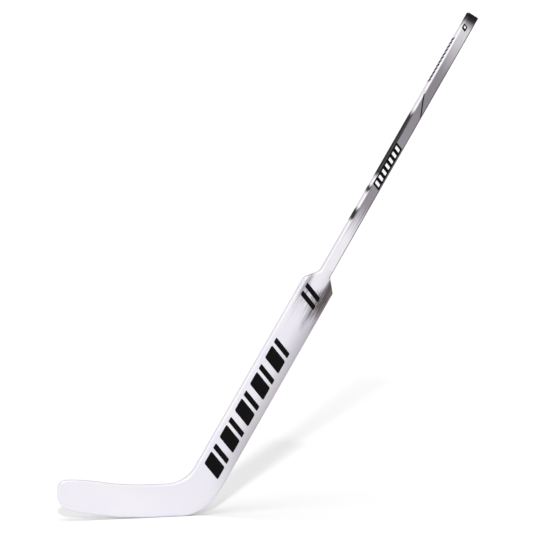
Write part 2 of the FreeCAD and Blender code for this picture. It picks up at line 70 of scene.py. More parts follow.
class Face(Enum):
    """The two broad faces of the stick; the value is the side of Y that each looks to."""

    BACKHAND = -1
    FOREHAND = 1

    @property
    def outward(self) -> Vector:
        """The direction that the face looks in."""
        return Vector((0, self.value, 0))


class Edge(Enum):
    """The two long edges; the value is the side of the shaft's centre line."""

    UPPER = -1
    LOWER = 1


class Pick(Enum):
    """What an edit-mode choice selects."""

    VERTS = "VERT"
    EDGES = "EDGE"
    FACES = "FACE"


# ---------------------------------------------------------------- modelling aids

def deselect_all() -> None:
    """Leaves object mode and deselects everything."""
    if bpy.context.mode != "OBJECT":
        bpy.ops.object.mode_set(mode="OBJECT")
    bpy.ops.object.select_all(action="DESELECT")


def activate(piece: bpy.types.Object) -> None:
    """Makes a piece the only selected one and the active one."""
    deselect_all()
    piece.select_set(True)
    bpy.context.view_layer.objects.active = piece


def named(name: str) -> bpy.types.Object:
    """Names the active object and its mesh.

    Args:
        name: a plain name for the piece.

    Returns:
        The object.
    """
    piece = bpy.context.view_layer.objects.active
    piece.name = name
    piece.data.name = name
    return piece


@contextmanager
def editing(piece: bpy.types.Object) -> Iterator[None]:
    """Edit mode on one piece, with nothing selected at first.

    Args:
        piece: the object to edit.
    """
    activate(piece)
    bpy.ops.object.mode_set(mode="EDIT")
    bpy.ops.mesh.select_all(action="DESELECT")
    yield
    bpy.ops.object.mode_set(mode="OBJECT")


def choose(kind: Pick, test: Callable[[Any], bool]) -> int:
    """Selects just the parts of the edited mesh that pass a test.

    Args:
        kind: vertices, edges or faces.
        test: says whether an element is wanted.

    Returns:
        How many are selected.
    """
    bpy.ops.mesh.select_mode(type=kind.value)
    bpy.ops.mesh.select_all(action="DESELECT")
    mesh = bmesh.from_edit_mesh(bpy.context.edit_object.data)
    elements = {Pick.VERTS: mesh.verts, Pick.EDGES: mesh.edges, Pick.FACES: mesh.faces}[kind]
    chosen = [element for element in elements if test(element)]
    for element in chosen:
        element.select_set(True)
    mesh.select_flush_mode()
    bmesh.update_edit_mesh(bpy.context.edit_object.data)
    return len(chosen)


def extrude(move: Vector) -> None:
    """Extrudes what is selected and moves it.

    Args:
        move: how far, in metres.
    """
    bpy.ops.mesh.extrude_region_move(TRANSFORM_OT_translate={"value": move})


def shift(move: Vector) -> None:
    """Moves what is selected, in metres."""
    bpy.ops.transform.translate(value=move)


def settle(piece: bpy.types.Object) -> None:
    """Takes the object's place, turn and size into its mesh."""
    activate(piece)
    bpy.ops.object.transform_apply(location=True, rotation=True, scale=True)


def modify(piece: bpy.types.Object, kind: str, **settings: Any) -> None:
    """Adds a modifier to a piece and applies it.

    Args:
        piece: the object.
        kind: the modifier's type.
        settings: its properties.
    """
    activate(piece)
    modifier = piece.modifiers.new(kind.title(), kind)
    for key, value in settings.items():
        setattr(modifier, key, value)
    bpy.ops.object.modifier_apply(modifier=modifier.name)


def smooth(piece: bpy.types.Object, degrees: float = 35.0) -> None:
    """Shades a piece smooth, but for creases sharper than an angle."""
    activate(piece)
    bpy.ops.object.shade_smooth_by_angle(angle=math.radians(degrees))


def join(name: str, parts: list[bpy.types.Object]) -> bpy.types.Object:
    """Joins loose parts that are made as one group.

    Args:
        name: the group's name.
        parts: the objects, each already settled.

    Returns:
        The joined object.
    """
    deselect_all()
    for part in parts:
        part.select_set(True)
    bpy.context.view_layer.objects.active = parts[0]
    if len(parts) > 1:
        bpy.ops.object.join()
    return named(name)


# ---------------------------------------------------------------- the stick's own directions

@dataclass(frozen=True)
class ShaftLine:
    """The shaft's centre line, and the directions along it and across the stick's face."""

    foot: Vector
    along: Vector
    across: Vector

    @classmethod
    def from_frame(cls) -> "ShaftLine":
        """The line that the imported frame's pull joint and shaft tube give.

        Returns:
            The line, its foot on the ice.
        """
        along = Vector(frame["joints"][0]["axis"]).normalized()
        low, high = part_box("shaft_tube")
        middle = (low + high) / 2
        foot = middle - along * (middle.z / along.z)
        return cls(foot, along, Vector((along.z, 0, -along.x)))

    def point(self, along: float, across: float, depth: float = 0.0) -> Vector:
        """A place in the shaft's own directions.

        Args:
            along: millimetres up the shaft from the ice.
            across: millimetres from the centre line towards the lower edge.
            depth: millimetres towards the forehand side.

        Returns:
            The place in metres.
        """
        return self.foot + (self.along * along + self.across * across + Vector((0, depth, 0))) * MM

    def flat(self, along: float, across: float) -> Vector:
        """A place on the middle plane, in millimetres."""
        return self.point(along, across) / MM

    def facing(self, outward: Vector) -> Matrix:
        """A turn that lays a new plane on a side of the shaft, its own X along the shaft.

        Args:
            outward: the way that the side looks.

        Returns:
            The rotation.
        """
        return Matrix((self.along, outward.cross(self.along), outward)).transposed()


LINE = ShaftLine.from_frame()


def arc(centre: Vector, radius: float, start: float, end: float, steps: int) -> list[Vector]:
    """Points along an arc in the middle plane.

    Args:
        centre: its centre, in millimetres.
        radius: in millimetres.
        start: where it starts, in degrees from +X towards +Z.
        end: where it ends.
        steps: how many equal steps.

    Returns:
        The points, both ends included.
    """
    turns = [math.radians(start + (end - start) * step / steps) for step in range(steps + 1)]
    return [centre + Vector((math.cos(turn), 0, math.sin(turn))) * radius for turn in turns]


def fillet(before: Vector, corner: Vector, after: Vector, radius: float, steps: int) -> list[Vector]:
    """Points along the round that eases a corner.

    Args:
        before: a point on the line into the corner.
        corner: where the two lines meet.
        after: a point on the line out of it.
        radius: in millimetres.
        steps: how many equal steps.

    Returns:
        The points, from one tangent point to the other.
    """
    into, out = (before - corner).normalized(), (after - corner).normalized()
    half = into.angle(out) / 2
    centre = corner + (into + out).normalized() * (radius / math.sin(half))
    first = corner + into * (radius / math.tan(half)) - centre
    last = corner + out * (radius / math.tan(half)) - centre
    sweep = first.angle(last)
    points = []
    for step in range(steps + 1):
        share = step / steps
        leaving, arriving = math.sin((1 - share) * sweep), math.sin(share * sweep)
        points.append(centre + (first * leaving + last * arriving) / math.sin(sweep))
    return points


# ---------------------------------------------------------------- materials

NodeTree = bpy.types.ShaderNodeTree
Node = bpy.types.Node
Socket = bpy.types.NodeSocket
Stops = list[tuple[float, str]]

SMOOTH = {"interpolation_type": "SMOOTHSTEP"}
TIMES = {"operation": "MULTIPLY"}
COLOURS = {"data_type": "RGBA"}
TINT = {"data_type": "RGBA", "blend_type": "MULTIPLY"}
FACTOR, UNDER, OVER = 0, 6, 7    # a colour mix's sockets
FALLING = (1.0, 0.0)             # a range that falls as its value rises


def linear(colour: str) -> tuple[float, float, float, float]:
    """An sRGB hex colour as linear red, green, blue and alpha.

    Args:
        colour: six hex digits.

    Returns:
        The four numbers.
    """
    channels = [int(colour[start:start + 2], 16) / 255 for start in (0, 2, 4)]
    red, green, blue = (
        value / 12.92 if value <= 0.04045 else ((value + 0.055) / 1.055) ** 2.4 for value in channels
    )
    return red, green, blue, 1.0


def metres(sizes: tuple[float, ...]) -> tuple[float, ...]:
    """Sizes in millimetres as metres."""
    return tuple(size * MM for size in sizes)


def add_node(
    tree: NodeTree, kind: str, inputs: Any = (), stops: Stops | None = None, **settings: Any,
) -> Node:
    """Adds a node, with its settings and what goes into it.

    Args:
        tree: the material's node tree.
        kind: the node's type, without the leading ShaderNode.
        inputs: in order, or by socket name or number: a value, a socket, or a node for its first output.
        stops: a colour ramp's pairs of place and sRGB hex colour, in order.
        settings: the node's own properties.

    Returns:
        The node.
    """
    node = tree.nodes.new(f"ShaderNode{kind}")
    for key, value in settings.items():
        setattr(node, key, value)
    if stops:
        elements = node.color_ramp.elements
        for extra in range(len(stops) - len(elements)):
            elements.new(extra / len(stops))
        for element, (place, colour) in zip(elements, stops):
            element.position = place
            element.color = linear(colour)
    for key, value in inputs.items() if isinstance(inputs, dict) else enumerate(inputs):
        if isinstance(value, Node):
            value = next(output for output in value.outputs if output.enabled)
        if isinstance(value, Socket):
            tree.links.new(value, node.inputs[key])
        else:
            node.inputs[key].default_value = value
    return node


def sized_pattern(
    tree: NodeTree, kind: str, places: Any, grain: tuple[float, float, float], **inputs: Any,
) -> Node:
    """Adds a procedural pattern whose grain has a real size.

    Args:
        tree: the material's node tree.
        kind: the pattern's node type.
        places: coordinates in metres.
        grain: the size of the grain along each coordinate, in millimetres.
        inputs: the pattern's other inputs.

    Returns:
        The pattern's node.
    """
    scaled = add_node(tree, "Mapping", {"Vector": places, "Scale": [1 / size for size in metres(grain)]})
    return add_node(tree, kind, {"Vector": scaled, "Scale": 1.0, **inputs})


@dataclass(frozen=True)
class Finish:
    """What every finish has: a name, an even base and a way to make its Blender material."""

    name: str
    colour: str
    roughness: float
    ior: float = 1.5

    def material(self) -> bpy.types.Material:
        """Builds the material.

        Returns:
            The Blender material, its surface wired to a principled shader.
        """
        made = bpy.data.materials.new(self.name)
        made.use_nodes = True
        tree = made.node_tree
        tree.nodes.clear()
        even = {"Roughness": self.roughness, "IOR": self.ior}
        shader = add_node(tree, "BsdfPrincipled", {**even, **self.dress(tree)})
        add_node(tree, "OutputMaterial", {"Surface": shader})
        return made

    def dress(self, tree: NodeTree) -> dict[str, Any]:
        """What goes into the shader by socket name; each finish has its own."""
        raise NotImplementedError

    def places(self, tree: NodeTree) -> Socket:
        """The piece's own coordinates, in metres."""
        return add_node(tree, "TexCoord").outputs["Object"]

    def shaft_places(self, tree: NodeTree) -> Node:
        """Coordinates turned to the shaft: across the face, through it, and up the shaft, in metres."""
        lean = math.atan2(LINE.along.x, LINE.along.z)
        foot = Vector((LINE.across.dot(LINE.foot), 0, LINE.along.dot(LINE.foot)))
        return add_node(
            tree, "Mapping",
            {"Vector": self.places(tree), "Location": -foot, "Rotation": (0, -lean, 0)},
        )


@dataclass(frozen=True)
class GlossPaint(Finish):
    """Sprayed two-pack lacquer: a bright, slightly wavy gloss over smooth laminate.

    The orange peel is far finer than it is drawn here, so that it shows.
    """

    peel: float = 2.5
    peel_depth: float = 0.006
    coat: float = 0.35
    coat_roughness: float = 0.12
    mottle: float = 60.0
    mottle_gloss: float = 0.12

    def lacquer(self, tree: NodeTree, colour: Node) -> dict[str, Any]:
        """Lays a painted colour under the lacquer.

        Args:
            tree: the material's node tree.
            colour: the paint.

        Returns:
            What goes into the shader, by socket name.
        """
        places = self.places(tree)
        mottle = sized_pattern(tree, "TexNoise", places, (self.mottle,) * 3)
        dullest = self.roughness - self.mottle_gloss / 2
        worn = add_node(tree, "Math", (mottle, self.mottle_gloss, dullest), operation="MULTIPLY_ADD")
        peel = sized_pattern(tree, "TexNoise", places, (self.peel,) * 3, Detail=1.0)
        relief = add_node(tree, "Bump", {"Distance": self.peel_depth * MM, "Height": peel})
        return {"Base Color": colour, "Roughness": worn, "Normal": relief,
                "Coat Weight": self.coat, "Coat Roughness": self.coat_roughness}


@dataclass(frozen=True)
class PaintedLaminate(GlossPaint):
    """White paddle and blade paint, brushed with dark streaks below the shoulders.

    Places are in millimetres up the shaft, or across it towards the lower edge. The grey towards that edge is
    painted shade.
    """

    cool: str = "d2d0da"
    # the colour of the painted shade on the neck's lower corner
    dark: str = "1d1b1c"
    # painted shade: the grey that the paddle darkens to towards its lower edge
    painted_edge_shade: str = "cdcacb"
    cast_size: float = 160.0
    plain_neck: tuple[float, float] = (640, 700)
    edge_shade_across: tuple[float, float] = (-10, 46)
    edge_shade_along: tuple[float, float] = (60, 230)
    # painted shade: a dark band on the neck's lower rounded corner, carrying on the tube's
    corner_shade_across: tuple[float, float] = (12.3, 13.2)
    corner_shade_foot: tuple[float, float] = (700, 703)
    hair: tuple[float, float, float] = (1.5, 400, 100)
    stroke: tuple[float, float, float] = (7, 400, 90)
    stroke_drift: float = 130.0
    streaks: tuple[float, float] = (525, 645)
    streaks_end: tuple[float, float] = (690, 712)
    lower_side: tuple[float, float] = (-26, 28)
    upper_side: tuple[float, float] = (-22, -6)
    upper_rim: tuple[float, float] = (-43, -34)
    bare_along: tuple[float, float] = (640, 690)
    bare_half_width: tuple[float, float] = (9, 27)

    def dress(self, tree: NodeTree) -> dict[str, Any]:
        """White base with a cool cast, painted shade towards the lower edge and on the neck's lower corner,
        brushed along the paddle.
        """
        node = partial(add_node, tree)
        spots = self.shaft_places(tree)
        parts = node("SeparateXYZ", (spots,))
        across, along = parts.outputs["X"], parts.outputs["Z"]
        cast = sized_pattern(tree, "TexNoise", self.places(tree), (self.cast_size,) * 3, Detail=1.0)
        base = node("ValToRGB", (cast,), [(0.35, self.colour), (0.65, self.cool)])
        neck = node("MapRange", (along, *metres(self.plain_neck)), **SMOOTH)
        base = node("Mix", {FACTOR: neck, UNDER: base, OVER: linear(self.colour)}, **COLOURS)
        # painted shade: greyer towards the paddle's lower edge, from above the heel up
        edge_shade_mask = node("Math", (
            node("MapRange", (across, *metres(self.edge_shade_across)), **SMOOTH),
            node("MapRange", (along, *metres(self.edge_shade_along)), **SMOOTH)), **TIMES)
        shade = node("ValToRGB", (edge_shade_mask,), [(0.0, "ffffff"), (1.0, self.painted_edge_shade)])
        base = node("Mix", {FACTOR: 1.0, UNDER: base, OVER: shade}, **TINT)
        ink = self.ink(tree, spots, self.brushed(tree, spots, across, along))
        tinted = node("Mix", {FACTOR: 1.0, UNDER: base, OVER: ink}, **TINT)
        # painted shade along the lower rounded corner of the neck
        line = node("Math", (
            node("MapRange", (across, *metres(self.corner_shade_across)), **SMOOTH),
            node("MapRange", (along, *metres(self.corner_shade_foot)), **SMOOTH)), **TIMES)
        corner_shaded = node("Mix", {FACTOR: line, UNDER: tinted, OVER: linear(self.dark)}, **COLOURS)
        return self.lacquer(tree, corner_shaded)

    def ink(self, tree: NodeTree, spots: Node, weight: Node) -> Node:
        """The tint of the brushed streaks: a thin wash with the hairs' darker lines in it.

        Args:
            tree: the material's node tree.
            spots: coordinates in the shaft's directions.
            weight: how thickly each place is brushed.

        Returns:
            A colour to multiply the base by.
        """
        node = partial(add_node, tree)
        hairs = sized_pattern(tree, "TexNoise", spots, self.hair, Detail=3.0)
        hairs = node("MapRange", (hairs, 0.36, 0.64), **SMOOTH)
        coverage = node("Math", (hairs, node("Math", (weight, 1.0), operation="SUBTRACT")))
        lines = node("Math", (
            node("MapRange", (coverage, -0.06, 0.26), **SMOOTH),
            node("MapRange", (weight, 0.02, 0.16), **SMOOTH)), **TIMES)
        wash = node("Math", (node("MapRange", (weight, 0.1, 1.1), **SMOOTH), 0.36), **TIMES)
        bite = node("Math", (node("Math", (weight, 0.5), **TIMES), 0.22))
        strength = node("Math", (wash, node("Math", (lines, bite), **TIMES)))
        return node("ValToRGB", (strength,), [
            (0.0, "ffffff"), (0.2, "e6e5eb"), (0.45, "c4c0c4"), (0.75, "958b89"), (1.0, "5d504e")])

    def brushed(self, tree: NodeTree, spots: Node, across: Socket, along: Socket) -> Node:
        """How thickly each place is brushed.

        Args:
            tree: the material's node tree.
            spots: coordinates in the shaft's directions.
            across: their part across the face.
            along: their part up the shaft.

        Returns:
            0 where it is bare, about 1 where strokes cover it.
        """
        node = partial(add_node, tree)
        strokes = sized_pattern(tree, "TexNoise", spots, self.stroke)
        either_way = node("Math", (strokes, 0.5), operation="SUBTRACT")
        drift = node("Math", (either_way, self.stroke_drift * MM), **TIMES)
        rise = node("MapRange", (node("Math", (along, drift)), *metres(self.streaks)), **SMOOTH)
        lower = node("MapRange", (across, *metres(self.lower_side)), **SMOOTH)
        upper = node("Math", (
            node("MapRange", (across, *metres(self.upper_side), *FALLING), **SMOOTH), 0.4), **TIMES)
        upper = node("Math", (
            upper, node("MapRange", (across, *metres(self.upper_rim)), **SMOOTH)), **TIMES)
        both = node("Math", (node("Math", (lower, upper), operation="MAXIMUM"), 0.16))
        from_middle = node("Math", (node("Math", (across, 3 * MM)),), operation="ABSOLUTE")
        bare = node("Math", (
            node("MapRange", (along, *metres(self.bare_along)), **SMOOTH),
            node("MapRange", (from_middle, *metres(self.bare_half_width), *FALLING), **SMOOTH)), **TIMES)
        covered = node("Math", (
            both, node("Math", (bare, 1.2), **TIMES)), operation="SUBTRACT", use_clamp=True)
        end = node("MapRange", (along, *metres(self.streaks_end), *FALLING), **SMOOTH)
        return node("Math", (node("Math", (rise, covered), **TIMES), end), **TIMES)


@dataclass(frozen=True)
class PaintedTube(GlossPaint):
    """Shaft paint: white at both ends, brushed into grey between, with black at the butt.

    Places are in millimetres up the shaft, or across it towards the lower edge. The dark lower corner and
    lower side are painted shade.
    """

    foot: float = 700.0
    butt: float = 1460.0
    brush: float = 75.0
    hair: tuple[float, float, float] = (1.3, 1.3, 150)
    hair_sway: float = 5.0
    # dark print on the upper side, and the colour of the painted shade on the lower corner
    dark: str = "1d1b1c"
    upper_strip: tuple[float, float] = (-10.4, -9.9)
    pale_strip: tuple[float, float] = (-10.1, -9.6)
    pale_share: tuple[float, float] = (0.604, 0.61)
    # painted shade: the lower rounded corner, darker further up the shaft
    shaded_corner: tuple[float, float] = (11.4, 12.4)
    shaded_corner_rise: tuple[float, float] = (0.02, 0.24)
    # painted shade: the lower narrow side, dark all along
    lower_side: tuple[float, float] = (12.3, 13.2)

    def stops(self, marks: Stops) -> Stops:
        """Turns places up the shaft, in millimetres, into places on a ramp."""
        return [((place - self.foot) / (self.butt - self.foot), colour) for place, colour in marks]

    def dress(self, tree: NodeTree) -> dict[str, Any]:
        """Bands of paint with brushed ends; the narrow upper side has its own dark strip, and the lower
        corner and side carry painted shade.
        """
        node = partial(add_node, tree)
        spots = self.shaft_places(tree)
        parts = node("SeparateXYZ", (spots,))
        across, along = parts.outputs["X"], parts.outputs["Z"]
        length = self.butt - self.foot
        hairs = sized_pattern(tree, "TexNoise", spots, self.hair, Detail=3.0)
        hairs = node("Math", (hairs, 0.5), operation="SUBTRACT")
        risen = node("Math", (along, self.foot * MM), operation="SUBTRACT")
        even = node("Math", (risen, length * MM), operation="DIVIDE")
        ragged, torn = (
            node("Math", (even, node("Math", (hairs, reach * self.brush / length), **TIMES)))
            for reach in (2, 0.5))
        face = node("ValToRGB", (ragged,), self.stops([
            (815, self.colour), (862, "b3aeb4"), (900, "827d84"), (1080, "847f86"), (1230, "787479"),
            (1300, "7f7980"), (1352, "aaa5ab"), (1405, "c2bfc3")]))
        side = node("ValToRGB", (torn,), self.stops([
            (855, self.colour), (860, self.dark), (888, self.dark), (894, self.colour), (938, self.colour),
            (944, self.dark), (956, self.dark), (962, self.colour), (984, self.colour), (992, self.dark),
            (1166, self.dark), (1182, self.colour)]))
        edge = node("Math", (across, node("Math", (hairs, self.hair_sway * MM), **TIMES)))
        strip = node("MapRange", (edge, *metres(self.upper_strip), *FALLING), **SMOOTH)
        pale = node("Math", (
            node("MapRange", (even, *self.pale_share), **SMOOTH),
            node("MapRange", (across, *metres(self.pale_strip), *FALLING), **SMOOTH)), **TIMES)
        strip = node("Math", (strip, pale), operation="MAXIMUM")
        paint = node("Mix", {FACTOR: strip, UNDER: face, OVER: side}, **COLOURS)
        # painted shade: the lower corner and the lower narrow side are darkened
        rim = node("Math", (
            node("MapRange", (across, *metres(self.shaded_corner)), **SMOOTH),
            node("MapRange", (ragged, *self.shaded_corner_rise), **SMOOTH)), **TIMES)
        below = node("MapRange", (across, *metres(self.lower_side)), **SMOOTH)
        rim = node("Math", (rim, below), use_clamp=True)
        paint = node("Mix", {FACTOR: rim, UNDER: paint, OVER: linear(self.dark)}, **COLOURS)
        butt = node("ValToRGB", (even,), self.stops([
            (1426, "ffffff"), (1441, "b4b2b4"), (1449, "4a484a"), (1454, "0c0b0c")]))
        return self.lacquer(tree, node("Mix", {FACTOR: 1.0, UNDER: paint, OVER: butt}, **TINT))


@dataclass(frozen=True)
class ScreenInk(Finish):
    """Screen-printed ink under lacquer: solid, with a slight unevenness in its gloss."""

    thin: str = "0a0a0a"
    patch: float = 9.0
    weave: float = 0.8
    weave_depth: float = 0.004

    def dress(self, tree: NodeTree) -> dict[str, Any]:
        """Even colour, patchy roughness and a faint print texture."""
        places = self.places(tree)
        tone = sized_pattern(tree, "TexNoise", places, (self.patch,) * 3, Detail=3.0)
        colour = add_node(tree, "ValToRGB", (tone,), [(0.3, self.colour), (0.8, self.thin)])
        gloss = add_node(tree, "ValToRGB", (tone,), [(0.3, "9a9a9a"), (0.7, "b8b8b8")])
        weave = sized_pattern(tree, "TexNoise", places, (self.weave,) * 3, Detail=1.0)
        relief = add_node(tree, "Bump", {"Distance": self.weave_depth * MM, "Height": weave})
        return {"Base Color": colour, "Roughness": gloss, "Normal": relief}


@dataclass(frozen=True)
class MouldedRubber(Finish):
    """Moulded rubber: matt black with a fine spark-eroded grain and a dusty bloom."""

    dusty: str = "1d1c1d"
    patch: float = 14.0
    pebble: float = 0.7
    pebble_depth: float = 0.05

    def dress(self, tree: NodeTree) -> dict[str, Any]:
        """Black with a greyer bloom in patches, and a pebbled surface."""
        places = self.places(tree)
        bloom = sized_pattern(tree, "TexNoise", places, (self.patch,) * 3, Detail=4.0)
        colour = add_node(tree, "ValToRGB", (bloom,), [(0.35, self.colour), (0.8, self.dusty)])
        pebbles = sized_pattern(tree, "TexVoronoi", places, (self.pebble,) * 3)
        relief = add_node(tree, "Bump", {"Distance": self.pebble_depth * MM, "Height": pebbles})
        return {"Base Color": colour, "Normal": relief}


@dataclass(frozen=True)
class LaminatedWood(Finish):
    """Glued aspen: pale, straight-grained and matt, with darker late wood every millimetre or two."""

    late: str = "b99a6c"
    ring: tuple[float, float, float] = (1.6, 4.8, 160)
    pore: tuple[float, float, float] = (0.5, 0.5, 12)
    pore_depth: float = 0.05

    def dress(self, tree: NodeTree) -> dict[str, Any]:
        """Grain that runs along the shaft, with fine pores."""
        spots = self.shaft_places(tree)
        rings = sized_pattern(tree, "TexNoise", spots, self.ring, Detail=4.0)
        colour = add_node(tree, "ValToRGB", (rings,), [(0.35, self.colour), (0.62, self.late)])
        pores = sized_pattern(tree, "TexNoise", spots, self.pore)
        relief = add_node(tree, "Bump", {"Distance": self.pore_depth * MM, "Height": pores})
        return {"Base Color": colour, "Normal": relief}


@dataclass(frozen=True)
class ClosedCellFoam(Finish):
    """Rigid closed-cell foam: matt, with small round cells cut open at its faces."""

    # painted shade: the colour at the bottom of each cut cell
    hollow: str = "b8a988"
    cell: float = 1.2
    cell_depth: float = 0.2

    def dress(self, tree: NodeTree) -> dict[str, Any]:
        """Cells as small pits, with painted shade that darkens each pit towards its bottom."""
        cells = sized_pattern(tree, "TexVoronoi", self.places(tree), (self.cell,) * 3)
        # painted shade: darker where the bump sinks into each cell
        colour = add_node(tree, "ValToRGB", (cells,), [(0.0, self.hollow), (0.5, self.colour)])
        relief = add_node(tree, "Bump", {"Distance": self.cell_depth * MM, "Height": cells})
        return {"Base Color": colour, "Normal": relief}


@dataclass(frozen=True)
class MouldedNylon(Finish):
    """Moulded nylon of the toe: milky white with faint flow marks."""

    milky: str = "d4d2cc"
    flow: tuple[float, float, float] = (40, 40, 6)
    flow_depth: float = 0.02

    def dress(self, tree: NodeTree) -> dict[str, Any]:
        """A milky colour with flow lines along the blade."""
        flow = sized_pattern(tree, "TexNoise", self.places(tree), self.flow)
        colour = add_node(tree, "ValToRGB", (flow,), [(0.3, self.colour), (0.7, self.milky)])
        relief = add_node(tree, "Bump", {"Distance": self.flow_depth * MM, "Height": flow})
        return {"Base Color": colour, "Normal": relief}


# Two-pack lacquer sprayed over moulded glass laminate: a cool white with a soft, slightly wavy shine.
PADDLE_PAINT = PaintedLaminate("white_lacquer_over_glass_laminate", "d8d5db", 0.34)
# The same lacquer over a carbon tube, sanded thinner: the brushed grey shows with less shine.
SHAFT_PAINT = PaintedTube("brushed_grey_lacquer_over_carbon_tube", "d8d5db", 0.34, 1.38, coat=0.2)
# Screen ink under the lacquer: a flat deep black that mirrors almost nothing, hence the low IOR.
BLACK_INK = ScreenInk("black_screen_ink", "030303", 0.4, 1.17)
# The same ink in white: a clean pale stripe that stands out of the black.
WHITE_INK = ScreenInk("white_screen_ink", "e2e0e4", 0.4, thin="e9e7eb")
# Moulded rubber, spark-eroded: matt and dusty, so that its edges catch only a dull light.
RUBBER = MouldedRubber("black_moulded_rubber", "0b0a0b", 0.78, 1.27)
# Glued aspen: a warm, dry wood with straight grain along the stick.
ASPEN = LaminatedWood("glued_aspen", "dcc59b", 0.7)
# Closed-cell foam: cream-coloured and quite matt, with its cut cells as dimples.
FOAM = ClosedCellFoam("closed_cell_foam", "d9ccab", 0.85)
# Moulded nylon: a waxy off-white with a soft shine.
NYLON = MouldedNylon("moulded_nylon", "e6e4de", 0.45, 1.53)


# ---------------------------------------------------------------- paddle and blade

@dataclass(frozen=True)
class Station:
    """One row across the stick: its ends on the upper and the lower edge, in millimetres."""

    upper: Vector
    lower: Vector


@dataclass(frozen=True)
class BladeOutline:
    """The face outline of shoulders, paddle, heel and blade, in millimetres."""

    sleeve_top: float = 720.0
    shoulder_top: float = 705.0
    shoulder_foot: float = 672.0
    shaft_half: float = 15.0
    paddle_half: float = 44.0
    shoulder_rounds: tuple[float, float] = (17.0, 5.0)
    neck_rounds: tuple[float, float] = (26.0, 6.0)
    blade_height: float = 83.5
    toe_reach: float = 284.5
    toe_upper: float = 22.0
    toe_lower: float = 42.0
    sole_half: float = 34.0
    rocker: float = 1000.0
    heel: float = 100.0
    heel_ease: float = 300.0
    heel_ease_top: float = 80.0
    throat: float = 84.0
    lift_start: float = 48.5
    lift: float = 740.0
    crest: float = 453.0
    paddle_rows: int = 8
    bend_rows: int = 16
    blade_rows: int = 16
    toe_lead: float = 10.0

    @property
    def lie(self) -> float:
        """The angle between ice and shaft, in radians."""
        return math.atan2(LINE.along.z, LINE.along.x)

    @property
    def foot(self) -> float:
        """Where the shaft's line meets the ice, in millimetres from the origin."""
        return LINE.foot.x / MM

    @property
    def throat_centre(self) -> Vector:
        """Centre of the round between the blade's top and the paddle's upper edge."""
        edge = self.foot - self.paddle_half / math.sin(self.lie) + self.blade_height / math.tan(self.lie)
        return Vector((edge - self.throat * math.tan(self.lie / 2), 0, self.blade_height + self.throat))

    @property
    def crest_centre(self) -> Vector:
        """Centre of the gentle crest that the blade's top makes towards the toe."""
        run = self.toe_reach - self.toe_upper - self.lift_start
        drop = math.sqrt((self.lift + self.crest) ** 2 - run ** 2)
        return Vector((-(self.toe_reach - self.toe_upper), 0, self.blade_height + self.lift - drop))

    def top_at(self, x: float) -> Vector:
        """The blade's top edge at a distance along X, between the throat and the toe's round."""
        centre = self.crest_centre
        join = centre.x + (-self.lift_start - centre.x) * self.crest / (self.lift + self.crest)
        if x > -self.lift_start:
            height = self.blade_height
        elif x > join:
            height = self.blade_height + self.lift - math.sqrt(self.lift ** 2 - (x + self.lift_start) ** 2)
        else:
            height = centre.z + math.sqrt(self.crest ** 2 - (x - centre.x) ** 2)
        return Vector((x, 0, height))

    def sole_at(self, x: float) -> Vector:
        """The sole at a distance along X, from the flat to the toe's lower round."""
        past = max(0.0, -x - self.sole_half)
        return Vector((x, 0, self.rocker - math.sqrt(self.rocker ** 2 - past ** 2)))

    def heel_path(self, steps: int) -> list[Vector]:
        """Points down the lower edge round the heel, evenly spaced, to below the throat's start.

        Args:
            steps: how many rows the heel has.

        Returns:
            The points, without the first.
        """
        sine, cosine = math.sin(self.lie), math.cos(self.lie)
        end_x = self.foot + self.paddle_half / sine + self.heel_ease_top / math.tan(self.lie)
        ease_centre = Vector((end_x - self.heel_ease * sine, 0, self.heel_ease_top + self.heel_ease * cosine))
        rise = ease_centre.z - self.heel
        run = math.sqrt((self.heel_ease - self.heel) ** 2 - rise ** 2)
        heel_centre = ease_centre + Vector((run, 0, -rise))
        joint = 360 - math.degrees(math.atan2(rise, run))
        fine = arc(ease_centre, self.heel_ease, 270 + math.degrees(self.lie), joint, 40)
        fine += arc(heel_centre, self.heel, joint, 270, 60)[1:]
        fine.append(Vector((self.throat_centre.x, 0, 0)))
        return spread(fine, steps)

    def neck(self, edge: Edge) -> list[Vector]:
        """Points from the sleeve's top down over one shoulder to the paddle's straight edge.

        Args:
            edge: which edge.

        Returns:
            The points.
        """
        side = 0 if edge is Edge.UPPER else 1
        top = LINE.flat(self.sleeve_top, edge.value * self.shaft_half)
        inner = LINE.flat(self.shoulder_top, edge.value * self.shaft_half)
        outer = LINE.flat(self.shoulder_foot, edge.value * self.paddle_half)
        below = LINE.flat(self.shoulder_foot - 100, edge.value * self.paddle_half)
        concave = fillet(top, inner, outer, self.neck_rounds[side], 5)
        convex = fillet(inner, outer, below, self.shoulder_rounds[side], 6)
        return [top, *concave, *convex]

    def stations(self) -> list[Station]:
        """The rows from the sleeve's top to the start of the toe's rounds.

        Returns:
            The rows, in order.
        """
        rows = [Station(*ends) for ends in zip(self.neck(Edge.UPPER), self.neck(Edge.LOWER))]
        throat = self.throat_centre
        throat_end = arc(throat, self.throat, 270 + math.degrees(self.lie), 270, self.bend_rows)
        low = (throat_end[0] - LINE.foot / MM).dot(LINE.along)
        start = self.shoulder_foot - 14
        for row in range(self.paddle_rows + 1):
            along = start + (low - start) * row / self.paddle_rows
            rows.append(Station(LINE.flat(along, -self.paddle_half), LINE.flat(along, self.paddle_half)))
        rows += [Station(*ends) for ends in zip(throat_end[1:], self.heel_path(self.bend_rows))]
        lower_start = -(self.toe_reach - self.toe_lower)
        for row in range(1, self.blade_rows + 1):
            x = throat.x + (lower_start - throat.x) * row / self.blade_rows
            sole = self.sole_at(x) if row < self.blade_rows else self.toe_lower_arc()[0]
            rows.append(Station(self.top_at(x), sole))
        upper = [self.top_at(lower_start - self.toe_lead), self.toe_upper_arc()[0]]
        rows += [Station(*ends) for ends in zip(upper, self.toe_lower_arc()[1:4:2])]
        return rows

